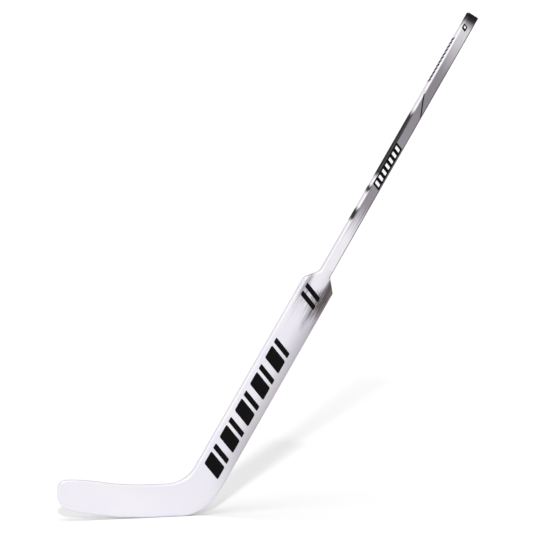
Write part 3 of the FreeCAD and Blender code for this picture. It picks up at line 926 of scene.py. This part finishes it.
    def toe_upper_arc(self) -> list[Vector]:
        """The toe's upper round, from the crest to its front."""
        centre = self.crest_centre + Vector((0, 0, self.crest - self.toe_upper))
        return arc(centre, self.toe_upper, 90, 180, 12)

    def toe_lower_arc(self) -> list[Vector]:
        """The toe's lower round, from the rocker to its front."""
        run = self.toe_reach - self.toe_lower - self.sole_half
        dip = math.degrees(math.asin(run / (self.rocker - self.toe_lower)))
        height = self.rocker - math.sqrt((self.rocker - self.toe_lower) ** 2 - run ** 2)
        centre = Vector((-(self.toe_reach - self.toe_lower), 0, height))
        return arc(centre, self.toe_lower, 270 - dip, 180, 14)


def spread(points: list[Vector], steps: int) -> list[Vector]:
    """Points evenly spaced along a path.

    Args:
        points: the path.
        steps: how many equal steps.

    Returns:
        The end of each step.
    """
    lengths = [0.0]
    for first, second in zip(points, points[1:]):
        lengths.append(lengths[-1] + (second - first).length)
    found = []
    for step in range(1, steps + 1):
        reach = lengths[-1] * step / steps
        index = next((i for i, length in enumerate(lengths) if length >= reach - 1e-6), len(lengths) - 1)
        share = (reach - lengths[index - 1]) / (lengths[index] - lengths[index - 1])
        found.append(points[index - 1].lerp(points[index], share))
    return found


@dataclass
class LaminateHalf:
    """Half of the shell of paddle and blade, from one broad face to the middle of the thickness."""

    face: Face
    outline: BladeOutline = field(default_factory=BladeOutline)
    columns: int = 6
    half_depth: float = 10.0
    toe_half_depth: float = 6.5
    toe_set: float = 15.0
    curve_reach: float = 305.0
    crown: float = 1.5
    edge_round: float = 6.0
    sleeve_round: float = 4.0
    toe_round: float = 4.4
    wall: float = 1.6
    longest_step: float = 75.0
    front_depth: float = 20.0
    share: str = "share"

    @property
    def name(self) -> str:
        """The piece's name."""
        return f"{self.face.name.lower()}_laminate"

    def build(self) -> bpy.types.Object:
        """Lofts the face row by row, turns its edges over and gives it its wall.

        Returns:
            The finished shell half.
        """
        rows = self.outline.stations()
        piece = self.first_row(rows[0])
        with editing(piece):
            self.loft(rows)
            self.close_toe(rows[-1])
        self.shape_face(piece)
        with editing(piece):
            choose(Pick.EDGES, lambda edge: edge.is_boundary and not self.at_top(edge.verts))
            extrude(Vector((0, -self.face.value * MM, 0)))
        self.shape_rim(piece)
        self.weigh_edges(piece)
        modify(piece, "BEVEL", width=self.edge_round * MM, segments=7, limit_method="WEIGHT",
               use_clamp_overlap=False)
        with editing(piece):
            bpy.ops.mesh.select_all(action="SELECT")
            bpy.ops.mesh.normals_make_consistent(inside=False)
        self.face_outwards(piece)
        modify(piece, "SOLIDIFY", thickness=self.wall * MM, offset=-1.0, use_even_offset=False)
        smooth(piece, 50.0)
        modify(piece, "WEIGHTED_NORMAL", keep_sharp=True, weight=60)
        return piece

    def first_row(self, row: Station) -> bpy.types.Object:
        """Starts the face as one row of edges across the sleeve's top.

        Args:
            row: where the row lies.

        Returns:
            The new object, its mesh a single row of edges.
        """
        deselect_all()
        bpy.ops.mesh.primitive_grid_add(x_subdivisions=self.columns, y_subdivisions=1, size=1)
        piece = named(self.name)
        with editing(piece):
            choose(Pick.VERTS, lambda vert: vert.co.y > 0)
            bpy.ops.mesh.delete(type="VERT")
            bpy.ops.mesh.select_all(action="SELECT")
            shift(Vector((0, 0.5, 0)))
            self.lay(row, Vector((-0.5, 0, 0)) / MM, Vector((0.5, 0, 0)) / MM)
        shares = piece.data.attributes.new(self.share, "FLOAT", "POINT")
        start, run = row.upper * MM, (row.lower - row.upper) * MM
        for vert in piece.data.vertices:
            shares.data[vert.index].value = (vert.co - start).dot(run) / run.length_squared
        return piece

    def lay(self, row: Station, upper: Vector, lower: Vector) -> None:
        """Carries the selected row from one place to another by move, turn and stretch.

        Args:
            row: where it goes.
            upper: where its upper end is now, in millimetres.
            lower: where its lower end is now.
        """
        old, new = lower - upper, row.lower - row.upper
        centre = (row.upper + row.lower) / 2 * MM
        shift(centre - (upper + lower) / 2 * MM)
        turn = math.atan2(new.z, new.x) - math.atan2(old.z, old.x)
        ratio = new.length / old.length
        bpy.ops.transform.rotate(value=turn, orient_axis="Y", center_override=centre)
        bpy.ops.transform.resize(value=(ratio, ratio, ratio), center_override=centre)

    def loft(self, rows: list[Station]) -> None:
        """Extrudes the row down the paddle, round the heel and along the blade."""
        bpy.ops.mesh.select_mode(type="EDGE")
        bpy.ops.mesh.select_all(action="SELECT")
        for before, after in zip(rows, rows[1:]):
            extrude(Vector((0, 0, 0)))
            self.lay(after, before.upper, before.lower)

    def close_toe(self, last: Station) -> None:
        """Carries both ends of the last row round the toe and fills the front."""
        steps_up = self.outline.toe_upper_arc()[1:]
        steps_down = self.outline.toe_lower_arc()[4:]
        for start, steps in ((last.upper, steps_up), (last.lower, steps_down)):
            before = start
            choose(Pick.VERTS, lambda vert: (vert.co - start * MM).length < NEAR)
            for after in steps:
                bpy.ops.mesh.extrude_vertices_move(
                    TRANSFORM_OT_translate={"value": (after - before) * MM})
                before = after
        middle = (last.upper + last.lower) / 2 * MM
        reach = (last.upper - last.lower).normalized()
        normal = Vector((reach.z, 0, -reach.x))

        def beyond(vert: bmesh.types.BMVert) -> bool:
            """True for a point on the last row or past it."""
            on_row = abs((vert.co - middle).dot(normal)) < NEAR
            return on_row or vert.is_wire or vert.co.x < middle.x - self.front_depth * MM

        choose(Pick.VERTS, beyond)
        bpy.ops.mesh.edge_face_add()

    def at_top(self, verts: Any) -> bool:
        """True if all the points lie on the sleeve's top."""
        top = self.outline.sleeve_top * MM
        return all(abs((vert.co - LINE.foot).dot(LINE.along) - top) < NEAR for vert in verts)

    def toe_share(self, x: float) -> float:
        """How far along the curved blade a place is, from 0 to 1."""
        return min(1.0, max(0.0, -x / (self.curve_reach * MM)))

    def carried(self, x: float, toe_carry: float) -> float:
        """How far a circular curve carries a surface sideways.

        Args:
            x: the place along the blade, in metres.
            toe_carry: how far it is carried at the end of the curve, in millimetres.

        Returns:
            The distance, in metres.
        """
        radius = (self.curve_reach ** 2 + toe_carry ** 2) / (2 * toe_carry) * MM
        past = max(0.0, -x)
        return radius - math.sqrt(radius ** 2 - past ** 2)

    def shape_face(self, piece: bpy.types.Object) -> None:
        """Sets each point of the face to its depth: the thickness, the crown and the blade's curve."""
        side = self.face.value
        shares = piece.data.attributes[self.share]
        carry = self.toe_set + side * (self.toe_half_depth - self.half_depth)
        top, foot = self.outline.sleeve_top * MM, (self.outline.shoulder_foot - 20) * MM
        for vert in piece.data.vertices:
            share = min(1.0, max(0.0, shares.data[vert.index].value))
            along = (vert.co - LINE.foot).dot(LINE.along)
            fade = min(1.0, max(0.0, (top - along) / (top - foot))) if vert.co.x > 0 else 1.0
            fade *= 1 - self.toe_share(vert.co.x)
            drop = self.crown * MM * (1 - 4 * share * (1 - share)) * fade
            vert.co.y = side * (self.half_depth * MM - drop) + self.carried(vert.co.x, carry)

    def shape_rim(self, piece: bpy.types.Object) -> None:
        """Sets the turned-over edge on the middle of the thickness."""
        for vert in piece.data.vertices:
            if vert.select:
                vert.co.y = self.carried(vert.co.x, self.toe_set)

    def weigh_edges(self, piece: bpy.types.Object) -> None:
        """Marks the face's outer edges for rounding, smaller at the sleeve and the toe."""
        mesh = piece.data
        weights = mesh.attributes.new("bevel_weight_edge", "FLOAT", "EDGE")
        shares = mesh.attributes[self.share]
        rim = {vert.index for vert in mesh.vertices if vert.select}
        flat = {vert.index for vert in mesh.vertices if not vert.select}
        outer = {index for index in flat if not 0.01 <= shares.data[index].value <= 0.99}
        for edge in mesh.edges:
            ends = set(edge.vertices)
            if ends <= outer and not ends & rim and self.follows_edge(mesh, edge):
                middle = sum((mesh.vertices[i].co for i in ends), Vector()) / 2
                weights.data[edge.index].value = self.radius_at(middle) / self.edge_round

    def follows_edge(self, mesh: bpy.types.Mesh, edge: bpy.types.MeshEdge) -> bool:
        """True unless an edge runs right across the face."""
        first, second = (mesh.vertices[i].co for i in edge.vertices)
        return (first - second).length < self.longest_step * MM

    def radius_at(self, place: Vector) -> float:
        """The edge's rounding radius at a place, in millimetres."""
        along = (place - LINE.foot).dot(LINE.along) / MM
        if place.x > 0:
            sleeve = self.outline.shoulder_top - self.outline.shoulder_foot
            share = min(1.0, max(0.0, (along - self.outline.shoulder_foot) / sleeve))
            return self.edge_round + (self.sleeve_round - self.edge_round) * share
        return self.edge_round + (self.toe_round - self.edge_round) * self.toe_share(place.x)

    def face_outwards(self, piece: bpy.types.Object) -> None:
        """Turns the whole sheet over if its broad face looks inwards."""
        outward = sum(polygon.normal.y * polygon.area for polygon in piece.data.polygons)
        if outward * self.face.value < 0:
            with editing(piece):
                bpy.ops.mesh.select_all(action="SELECT")
                bpy.ops.mesh.flip_normals()

    def dress(self, piece: bpy.types.Object, paint: bpy.types.Material) -> None:
        """Paints the half and lets it stand for its CAD skin."""
        piece.data.materials.append(paint)
        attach(piece, STICK)
        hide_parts(f"{self.face.name.lower()}_skin")


# ---------------------------------------------------------------- shaft

@dataclass
class PaintedShaft:
    """The hollow shaft, from its rebated foot inside the shoulders to the butt plug's seat."""

    width: float = 30.0
    depth: float = 20.0
    corner: float = 4.0
    wall: float = 2.0
    foot: float = 705.0
    shoulder: float = 720.0
    top: float = 1458.0
    rebate: float = 1.7
    lip: float = 0.3

    def build(self) -> bpy.types.Object:
        """Boxes the tube, rounds its corners, steps its foot and bores it through.

        Returns:
            The finished tube.
        """
        length = self.top - self.shoulder
        piece = shaft_block("painted_shaft", self.shoulder, length, self.width, self.depth)
        with editing(piece):
            round_long_edges(self.corner, 6)
            choose(Pick.FACES, lambda face: at_height(face, self.shoulder))
            bpy.ops.mesh.inset(thickness=self.rebate * MM)
            extrude(LINE.along * (self.foot - self.shoulder) * MM)
            bpy.ops.mesh.inset(thickness=(self.wall - self.rebate) * MM)
            foot_face = selected_face_centre()
            choose(Pick.FACES, lambda face: at_height(face, self.top))
            bpy.ops.mesh.inset(thickness=self.wall * MM)
            top_face = selected_face_centre()
            choose(Pick.FACES, lambda face: (face.calc_center_median() - foot_face).length < 1e-4
                   or (face.calc_center_median() - top_face).length < 1e-4)
            bpy.ops.mesh.bridge_edge_loops()
            choose(Pick.EDGES, self.on_lip)
            bpy.ops.mesh.bevel(offset=self.lip * MM, segments=2)
        smooth(piece)
        modify(piece, "WEIGHTED_NORMAL", keep_sharp=True, weight=60)
        return piece

    def on_lip(self, edge: bmesh.types.BMEdge) -> bool:
        """True for an edge of the tube's open upper end."""
        level = all(abs(height_of(vert.co) - self.top) < 0.01 for vert in edge.verts)
        return level and not all(at_height(face, self.top) for face in edge.link_faces)

    def dress(self, piece: bpy.types.Object, paint: bpy.types.Material) -> None:
        """Paints the tube and lets it stand for the CAD tube."""
        piece.data.materials.append(paint)
        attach(piece, STICK)
        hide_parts("shaft_tube")


def height_of(place: Vector) -> float:
    """How far up the shaft a place is, in millimetres."""
    return (place - LINE.foot).dot(LINE.along) / MM


def at_height(face: bmesh.types.BMFace, height: float) -> bool:
    """True for a face that lies square across the shaft at a height in millimetres."""
    square = abs(face.normal.dot(LINE.along)) > 0.99
    return square and abs(height_of(face.calc_center_median()) - height) < 0.01


def selected_face_centre() -> Vector:
    """The middle of the face that is selected in the edited mesh."""
    mesh = bmesh.from_edit_mesh(bpy.context.edit_object.data)
    return next(face.calc_center_median() for face in mesh.faces if face.select)


def round_long_edges(radius: float, segments: int) -> None:
    """Rounds the edited block's edges that run up the shaft.

    Args:
        radius: in millimetres.
        segments: how many steps the round has.
    """
    def runs_along(edge: bmesh.types.BMEdge) -> bool:
        """True for an edge in line with the shaft."""
        return abs((edge.verts[1].co - edge.verts[0].co).normalized().dot(LINE.along)) > 0.99

    choose(Pick.EDGES, runs_along)
    bpy.ops.mesh.bevel(offset=radius * MM, segments=segments, clamp_overlap=False)


def shaft_block(name: str, foot: float, length: float, width: float, depth: float) -> bpy.types.Object:
    """A block in line with the shaft, to be shaped further.

    Args:
        name: the piece's name.
        foot: where it starts up the shaft, in millimetres.
        length: how long it is.
        width: its size across the face.
        depth: its size through the thickness.

    Returns:
        The object, its place in its mesh.
    """
    deselect_all()
    turn = Matrix((LINE.across, Vector((0, 1, 0)), LINE.along)).transposed()
    middle = LINE.point(foot + length / 2, 0)
    bpy.ops.mesh.primitive_cube_add(size=1, location=middle, rotation=turn.to_euler())
    piece = named(name)
    piece.scale = Vector((width, depth, length)) * MM
    settle(piece)
    return piece


# ---------------------------------------------------------------- butt plug

@dataclass
class ButtPlug:
    """The moulded plug: a rounded cap as wide as the shaft, and a ribbed hollow spigot."""

    width: float = 30.0
    depth: float = 20.0
    seat: float = 1458.0
    cap: float = 10.0
    corner: float = 4.0
    rim: float = 2.0
    spigot_inset: float = 2.3
    spigot: float = 45.0
    ribs: int = 4
    rib: float = 3.0
    groove: float = 0.6
    wall: float = 3.0
    rim_width: float = 1.6
    dish_slope: float = 1.0
    dish: float = 0.5
    tip: float = 2.0

    def build(self) -> bpy.types.Object:
        """Boxes the cap, dishes its top and draws the ribbed spigot out of its foot.

        Returns:
            The finished plug.
        """
        piece = shaft_block("rubber_butt_plug", self.seat, self.cap, self.width, self.depth)
        with editing(piece):
            round_long_edges(self.corner, 6)
            top = self.seat + self.cap
            choose(Pick.EDGES, lambda edge: all(abs(height_of(vert.co) - top) < 0.01 for vert in edge.verts))
            bpy.ops.mesh.bevel(offset=self.rim * MM, segments=4, clamp_overlap=False)
            choose(Pick.FACES, lambda face: at_height(face, top))
            bpy.ops.mesh.inset(thickness=self.rim_width * MM)
            bpy.ops.mesh.inset(thickness=self.dish_slope * MM, depth=-self.dish * MM)
            choose(Pick.FACES, lambda face: at_height(face, self.seat))
            bpy.ops.mesh.inset(thickness=self.spigot_inset * MM)
            self.draw_spigot()
        smooth(piece)
        return piece

    def draw_spigot(self) -> None:
        """Extrudes the spigot in steps, each rib between two grooves, and hollows it."""
        down = -LINE.along * MM
        bare = (self.spigot - 2 * self.ribs * self.rib) / 2
        slim = 1 - 2 * self.groove / self.depth
        extrude(down * bare)
        for _ in range(self.ribs):
            for ratio in (slim, 1 / slim):
                self.resize(ratio, new_ring=True)
                extrude(down * self.rib)
        extrude(down * (bare - self.tip))
        extrude(down * self.tip)
        self.resize(slim ** 2, new_ring=False)
        bpy.ops.mesh.inset(thickness=(self.wall - 1) * MM)
        extrude(-down * (self.spigot - self.wall))

    def resize(self, ratio: float, new_ring: bool) -> None:
        """Draws the selected end face in or out, on a ring of its own if asked."""
        if new_ring:
            extrude(Vector((0, 0, 0)))
        centre = selected_face_centre()
        bpy.ops.transform.resize(value=(ratio, ratio, ratio), center_override=centre)

    def dress(self, piece: bpy.types.Object, rubber: bpy.types.Material) -> None:
        """Gives the plug its rubber and its joint's body, and lets it stand for its CAD node."""
        piece.data.materials.append(rubber)
        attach(piece, PLUG)
        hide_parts("butt_plug")


# ---------------------------------------------------------------- printed graphics

@dataclass(frozen=True)
class Bar:
    """A slanted bar: a parallelogram with rounded corners, in millimetres in the shaft's directions."""

    foot: float
    middle: float
    length: float
    height: float
    slant: float = 20.0
    corner: float = 2.5

    def build(self, outward: Vector, level: float) -> bpy.types.Object:
        """Cuts the bar out of a plane that floats above a side of the stick.

        Args:
            outward: the way that the side looks.
            level: its distance from the shaft's centre line, in millimetres.

        Returns:
            The flat bar, its place in its mesh.
        """
        lean = self.height * math.tan(math.radians(self.slant))
        sideways = LINE.across if abs(outward.y) > 0.5 else Vector((0, 1, 0))
        centre = LINE.point(self.foot + self.length / 2, 0) + (outward * level + sideways * self.middle) * MM
        deselect_all()
        turn = LINE.facing(outward).to_euler()
        bpy.ops.mesh.primitive_plane_add(size=1, location=centre, rotation=turn)
        bar = named("bar")
        bar.scale = Vector((self.length, self.height, 1 / MM)) * MM
        settle(bar)
        with editing(bar):
            choose(Pick.VERTS, lambda vert: (vert.co - centre).dot(sideways) > 0)
            shift(-LINE.along * lean * MM)
            bpy.ops.mesh.select_all(action="SELECT")
            bpy.ops.mesh.subdivide(number_cuts=7)
            choose(Pick.VERTS, lambda vert: len(vert.link_edges) == 2)
            bpy.ops.mesh.bevel(offset=self.corner * MM, segments=4, affect="VERTICES")
        return bar


@dataclass
class PrintedBars:
    """A group of slanted bars printed on one face."""

    name: str
    outward: Vector
    bars: list[Bar]
    replaces: tuple[str, ...] = ()
    level: float = 10.0
    float_gap: float = 0.08
    film: float = 0.08
    drape: bool = False
    start_gap: float = 0.5
    smallest: float = 0.02

    def build(self, under: bpy.types.Object) -> bpy.types.Object:
        """Makes the bars, lays them on the piece under them and gives them a film's thickness.

        Args:
            under: the piece they are printed on.

        Returns:
            The group as one object.
        """
        piece = join(self.name, [bar.build(self.outward, self.level + self.start_gap) for bar in self.bars])
        method = "NEAREST_SURFACEPOINT" if self.drape else "PROJECT"
        modify(piece, "SHRINKWRAP", target=under, wrap_method=method, wrap_mode="ABOVE_SURFACE",
               use_project_x=abs(self.outward.x) > 0.5, use_project_z=abs(self.outward.x) > 0.5,
               use_project_y=abs(self.outward.y) > 0.5, use_negative_direction=True,
               use_positive_direction=True, offset=self.float_gap * MM)
        with editing(piece):
            bpy.ops.mesh.select_all(action="SELECT")
            bpy.ops.mesh.remove_doubles(threshold=self.smallest * MM)
            bpy.ops.mesh.dissolve_degenerate(threshold=self.smallest * MM)
            bpy.ops.mesh.delete_loose()
        modify(piece, "SOLIDIFY", thickness=self.film * MM, offset=1.0)
        smooth(piece)
        return piece

    def dress(self, piece: bpy.types.Object, ink: bpy.types.Material) -> None:
        """Inks the bars and lets them stand for their CAD film."""
        piece.data.materials.append(ink)
        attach(piece, STICK)
        if self.replaces:
            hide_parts(*self.replaces)


@dataclass
class GraphicsLayout:
    """Where the generic graphics lie, in millimetres up the shaft and across the face."""

    band_foot: float = 137.0
    band_pitch: float = 77.0
    band_units: int = 5
    band_height: float = 52.0
    band_offset: float = -4.0
    wide_bar: float = 36.0
    thin_bar: float = 14.0
    bar_gap: float = 9.0
    mark_middle: float = 646.0
    mark_height: float = 50.0
    mark_offset: float = -6.0
    mark_bar: float = 13.0
    mark_pitch: float = 23.0
    panel_foot: float = 965.0
    panel_length: float = 122.0
    panel_height: float = 22.0
    panel_bars: int = 7
    panel_bar: float = 8.0
    panel_margin: float = 6.0
    panel_border: float = 8.0
    panel_slip: float = 1.5
    line_foot: float = 1163.0
    line_rise: float = 68.0
    line_width: float = 8.5
    line_span: float = 28.6
    dash_foot: float = 1266.0
    dash_pitch: float = 11.0
    dashes: int = 12
    dash_length: float = 8.0
    dash_height: float = 16.5
    butt_foot: float = 1424.0
    butt_offset: float = -5.5
    butt_length: float = 14.0
    butt_height: float = 13.0
    spot_inset: float = 3.9
    spot_size: float = 5.5

    def paddle_bars(self) -> list[Bar]:
        """Five pairs of a wide and a thin bar along the paddle."""
        bars = []
        for unit in range(self.band_units):
            foot = self.band_foot + unit * self.band_pitch
            bars.append(Bar(foot, self.band_offset, self.wide_bar, self.band_height, corner=4.0))
            bars.append(Bar(foot + self.wide_bar + self.bar_gap, self.band_offset, self.thin_bar,
                            self.band_height, corner=3.0))
        return bars

    def mark_bars(self) -> list[Bar]:
        """Two short bars below the shoulders."""
        first = self.mark_middle - (self.mark_pitch + self.mark_bar) / 2
        return [Bar(first + count * self.mark_pitch, self.mark_offset, self.mark_bar, self.mark_height,
                    corner=4.0)
                for count in range(2)]

    def panel(self) -> list[Bar]:
        """The dark panel on the shaft."""
        return [Bar(self.panel_foot, 0, self.panel_length, self.panel_height, corner=1.2)]

    def panel_stripes(self) -> list[Bar]:
        """Pale slanted stripes on the panel."""
        run = self.panel_length - 2 * self.panel_margin - self.panel_bar
        foot = self.panel_foot + self.panel_margin - self.panel_slip
        step = run / (self.panel_bars - 1)
        return [Bar(foot + step * count, 0, self.panel_bar, self.panel_height - self.panel_border, corner=0.8)
                for count in range(self.panel_bars)]

    def line(self) -> list[Bar]:
        """A thin line that crosses the shaft from edge to edge."""
        slant = math.degrees(math.atan2(self.line_rise, self.line_span))
        return [Bar(self.line_foot + self.line_rise, 0, self.line_width, self.line_span,
                    slant=slant, corner=0.8)]

    def butt_mark(self) -> list[Bar]:
        """A small plain mark near the butt."""
        return [Bar(self.butt_foot, self.butt_offset, self.butt_length, self.butt_height, corner=4.2)]

    def butt_spot(self) -> list[Bar]:
        """The pale spot in that mark."""
        return [Bar(self.butt_foot + self.spot_inset, self.butt_offset, self.spot_size, self.spot_size,
                    corner=1.6)]

    def side_dashes(self) -> list[Bar]:
        """A row of small dashes along the narrow upper side."""
        return [Bar(self.dash_foot + count * self.dash_pitch, 0, self.dash_length, self.dash_height,
                    corner=1.2)
                for count in range(self.dashes)]


# ---------------------------------------------------------------- inner pieces kept from the CAD

@dataclass(frozen=True)
class InnerPieces:
    """The cores, rails and blocks inside the shell, which keep their CAD shapes."""

    wood: tuple[str, ...] = (
        "core_spar", "paddle_rail_upper", "paddle_rail_lower", "shoulder_block_upper", "shoulder_block_lower",
        "heel_block", "blade_rib", "blade_sole_rail", "blade_top_rail",
    )
    foam: tuple[str, ...] = ("paddle_core_upper", "paddle_core_lower", "blade_core_heel", "blade_core_toe")
    nylon: tuple[str, ...] = ("toe_block",)

    def dress(self) -> None:
        """Gives each kept node its own material."""
        for names, finish in ((self.wood, ASPEN), (self.foam, FOAM), (self.nylon, NYLON)):
            material = finish.material()
            for name in names:
                node = frame["nodes"][name]
                node.data.materials.clear()
                node.data.materials.append(material)
                log.info("%s: CAD node in %s", name, finish.name)


# ---------------------------------------------------------------- studio

@dataclass(frozen=True)
class Studio:
    """Pale floor, soft light and the camera."""

    azimuth: float = -15.852
    elevation: float = 5.286
    target: tuple[float, float, float] = (0.26368, 0.0, 0.62132)
    distance: float = 8.0
    lens: float = 211.1
    floor_size: float = 900.0
    softboxes: tuple[tuple[str, tuple[float, float], float, float], ...] = (
        ("key_softbox", (-12.5, 26), 1.68, 3),
        ("overhead_softbox", (-60, 82), 1.95, 64),
        ("left_softbox", (-70, 20), 0.75, 40),
    )

    def build(self) -> None:
        """Lays the floor, hangs the lights and sets the camera."""
        self.floor()
        self.sky()
        for name, place, strength, width in self.softboxes:
            self.sun(name, place, strength, width)
        self.camera()

    def floor(self) -> None:
        """A plain pale floor that reaches past the view."""
        deselect_all()
        bpy.ops.mesh.primitive_plane_add(size=self.floor_size)
        piece = named("studio_floor")
        made = bpy.data.materials.new("matt_white_sweep")
        made.use_nodes = True
        shader = made.node_tree.nodes["Principled BSDF"]
        shader.inputs["Base Color"].default_value = linear("f8f8f8")
        shader.inputs["Roughness"].default_value = 1.0
        shader.inputs["Specular IOR Level"].default_value = 0.0
        piece.data.materials.append(made)

    def sky(self) -> None:
        """An even white surround: full behind the object, lower as a light."""
        world = bpy.data.worlds.new("studio_surround")
        bpy.context.scene.world = world
        world.use_nodes = True
        tree = world.node_tree
        tree.nodes.clear()
        seen = add_node(tree, "LightPath").outputs["Is Camera Ray"]
        strength = add_node(tree, "MapRange", {"Value": seen, "To Min": 0.16, "To Max": 1.0})
        surround = add_node(tree, "Background", {"Color": (1, 1, 1, 1), "Strength": strength})
        add_node(tree, "OutputWorld", {"Surface": surround})

    def outlook(self, azimuth: float, elevation: float) -> Vector:
        """The direction from the object out to an azimuth and elevation in degrees."""
        turn, rise = math.radians(azimuth), math.radians(elevation)
        return Vector((math.sin(turn) * math.cos(rise), -math.cos(turn) * math.cos(rise), math.sin(rise)))

    def sun(self, name: str, place: tuple[float, float], strength: float, width: float) -> None:
        """Adds a far soft light.

        Args:
            name: its name.
            place: the azimuth and elevation it shines from, in degrees.
            strength: its strength.
            width: how wide it is, in degrees.
        """
        light = bpy.data.lights.new(name, "SUN")
        light.energy = strength
        light.angle = math.radians(width)
        lamp = bpy.data.objects.new(name, light)
        bpy.context.scene.collection.objects.link(lamp)
        lamp.rotation_euler = self.outlook(*place).to_track_quat("Z", "Y").to_euler()

    def camera(self) -> None:
        """Sets a long lens at the stick's height, looking at its middle."""
        back = self.outlook(self.azimuth, self.elevation)
        lens = bpy.data.cameras.new("studio_camera")
        lens.lens = self.lens
        lens.sensor_width = 36.0
        lens.clip_end = 1000.0
        camera = bpy.data.objects.new("studio_camera", lens)
        bpy.context.scene.collection.objects.link(camera)
        camera.location = Vector(self.target) + back * self.distance
        camera.rotation_euler = (-back).to_track_quat("-Z", "Y").to_euler()
        bpy.context.scene.camera = camera


# ---------------------------------------------------------------- assembly

def build_prints(
    layout: GraphicsLayout, halves: dict[Face, bpy.types.Object], tube: bpy.types.Object,
) -> None:
    """Prints both faces of paddle and shaft, and the shaft's narrow upper side.

    Args:
        layout: where the graphics lie.
        halves: the laminate halves.
        tube: the shaft.
    """
    black, white = BLACK_INK.material(), WHITE_INK.material()
    for face, half in halves.items():
        side, out = face.name.lower(), face.outward
        replacing = (
            ("paddle_print", layout.paddle_bars(), "paddle_bars", half),
            ("shoulder_print", layout.mark_bars(), "shoulder_mark", half),
            ("panel_print", layout.panel(), "shaft_panel", tube),
        )
        for name, bars, film, under in replacing:
            lay_print(PrintedBars(f"{name}_{side}", out, bars, (f"{film}_{side}",)), under, black)
        stripes = PrintedBars(f"panel_stripes_{side}", out, layout.panel_stripes(), float_gap=0.18)
        lay_print(stripes, tube, white)
        lay_print(PrintedBars(f"shaft_line_{side}", out, layout.line(), drape=True), tube, black)
        lay_print(PrintedBars(f"butt_mark_{side}", out, layout.butt_mark()), tube, black)
        lay_print(PrintedBars(f"butt_spot_{side}", out, layout.butt_spot(), float_gap=0.18), tube, white)
    dashes = PrintedBars("side_dashes", -LINE.across, layout.side_dashes(), level=15.0, drape=True)
    lay_print(dashes, tube, black)


def lay_print(group: PrintedBars, under: bpy.types.Object, ink: bpy.types.Material) -> None:
    """Builds and inks one group of bars.

    Args:
        group: the bars.
        under: the piece they are printed on.
        ink: their material.
    """
    piece = group.build(under)
    group.dress(piece, ink)
    report(piece)


def report(piece: bpy.types.Object) -> None:
    """Logs a finished piece's name and size of mesh."""
    log.info("%s: %d faces", piece.name, len(piece.data.polygons))


def main() -> None:
    """Builds every piece in order, then the studio."""
    logging.basicConfig(level=logging.INFO, format="%(message)s")
    bpy.context.scene.view_settings.view_transform = "Standard"
    halves = {}
    paint = PADDLE_PAINT.material()
    for face in Face:
        half = LaminateHalf(face)
        halves[face] = half.build()
        half.dress(halves[face], paint)
        report(halves[face])
    shaft = PaintedShaft()
    tube = shaft.build()
    shaft.dress(tube, SHAFT_PAINT.material())
    report(tube)
    plug = ButtPlug()
    cap = plug.build()
    plug.dress(cap, RUBBER.material())
    report(cap)
    build_prints(GraphicsLayout(), halves, tube)
    InnerPieces().dress()
    Studio().build()


if __name__ == "__main__":
    main()
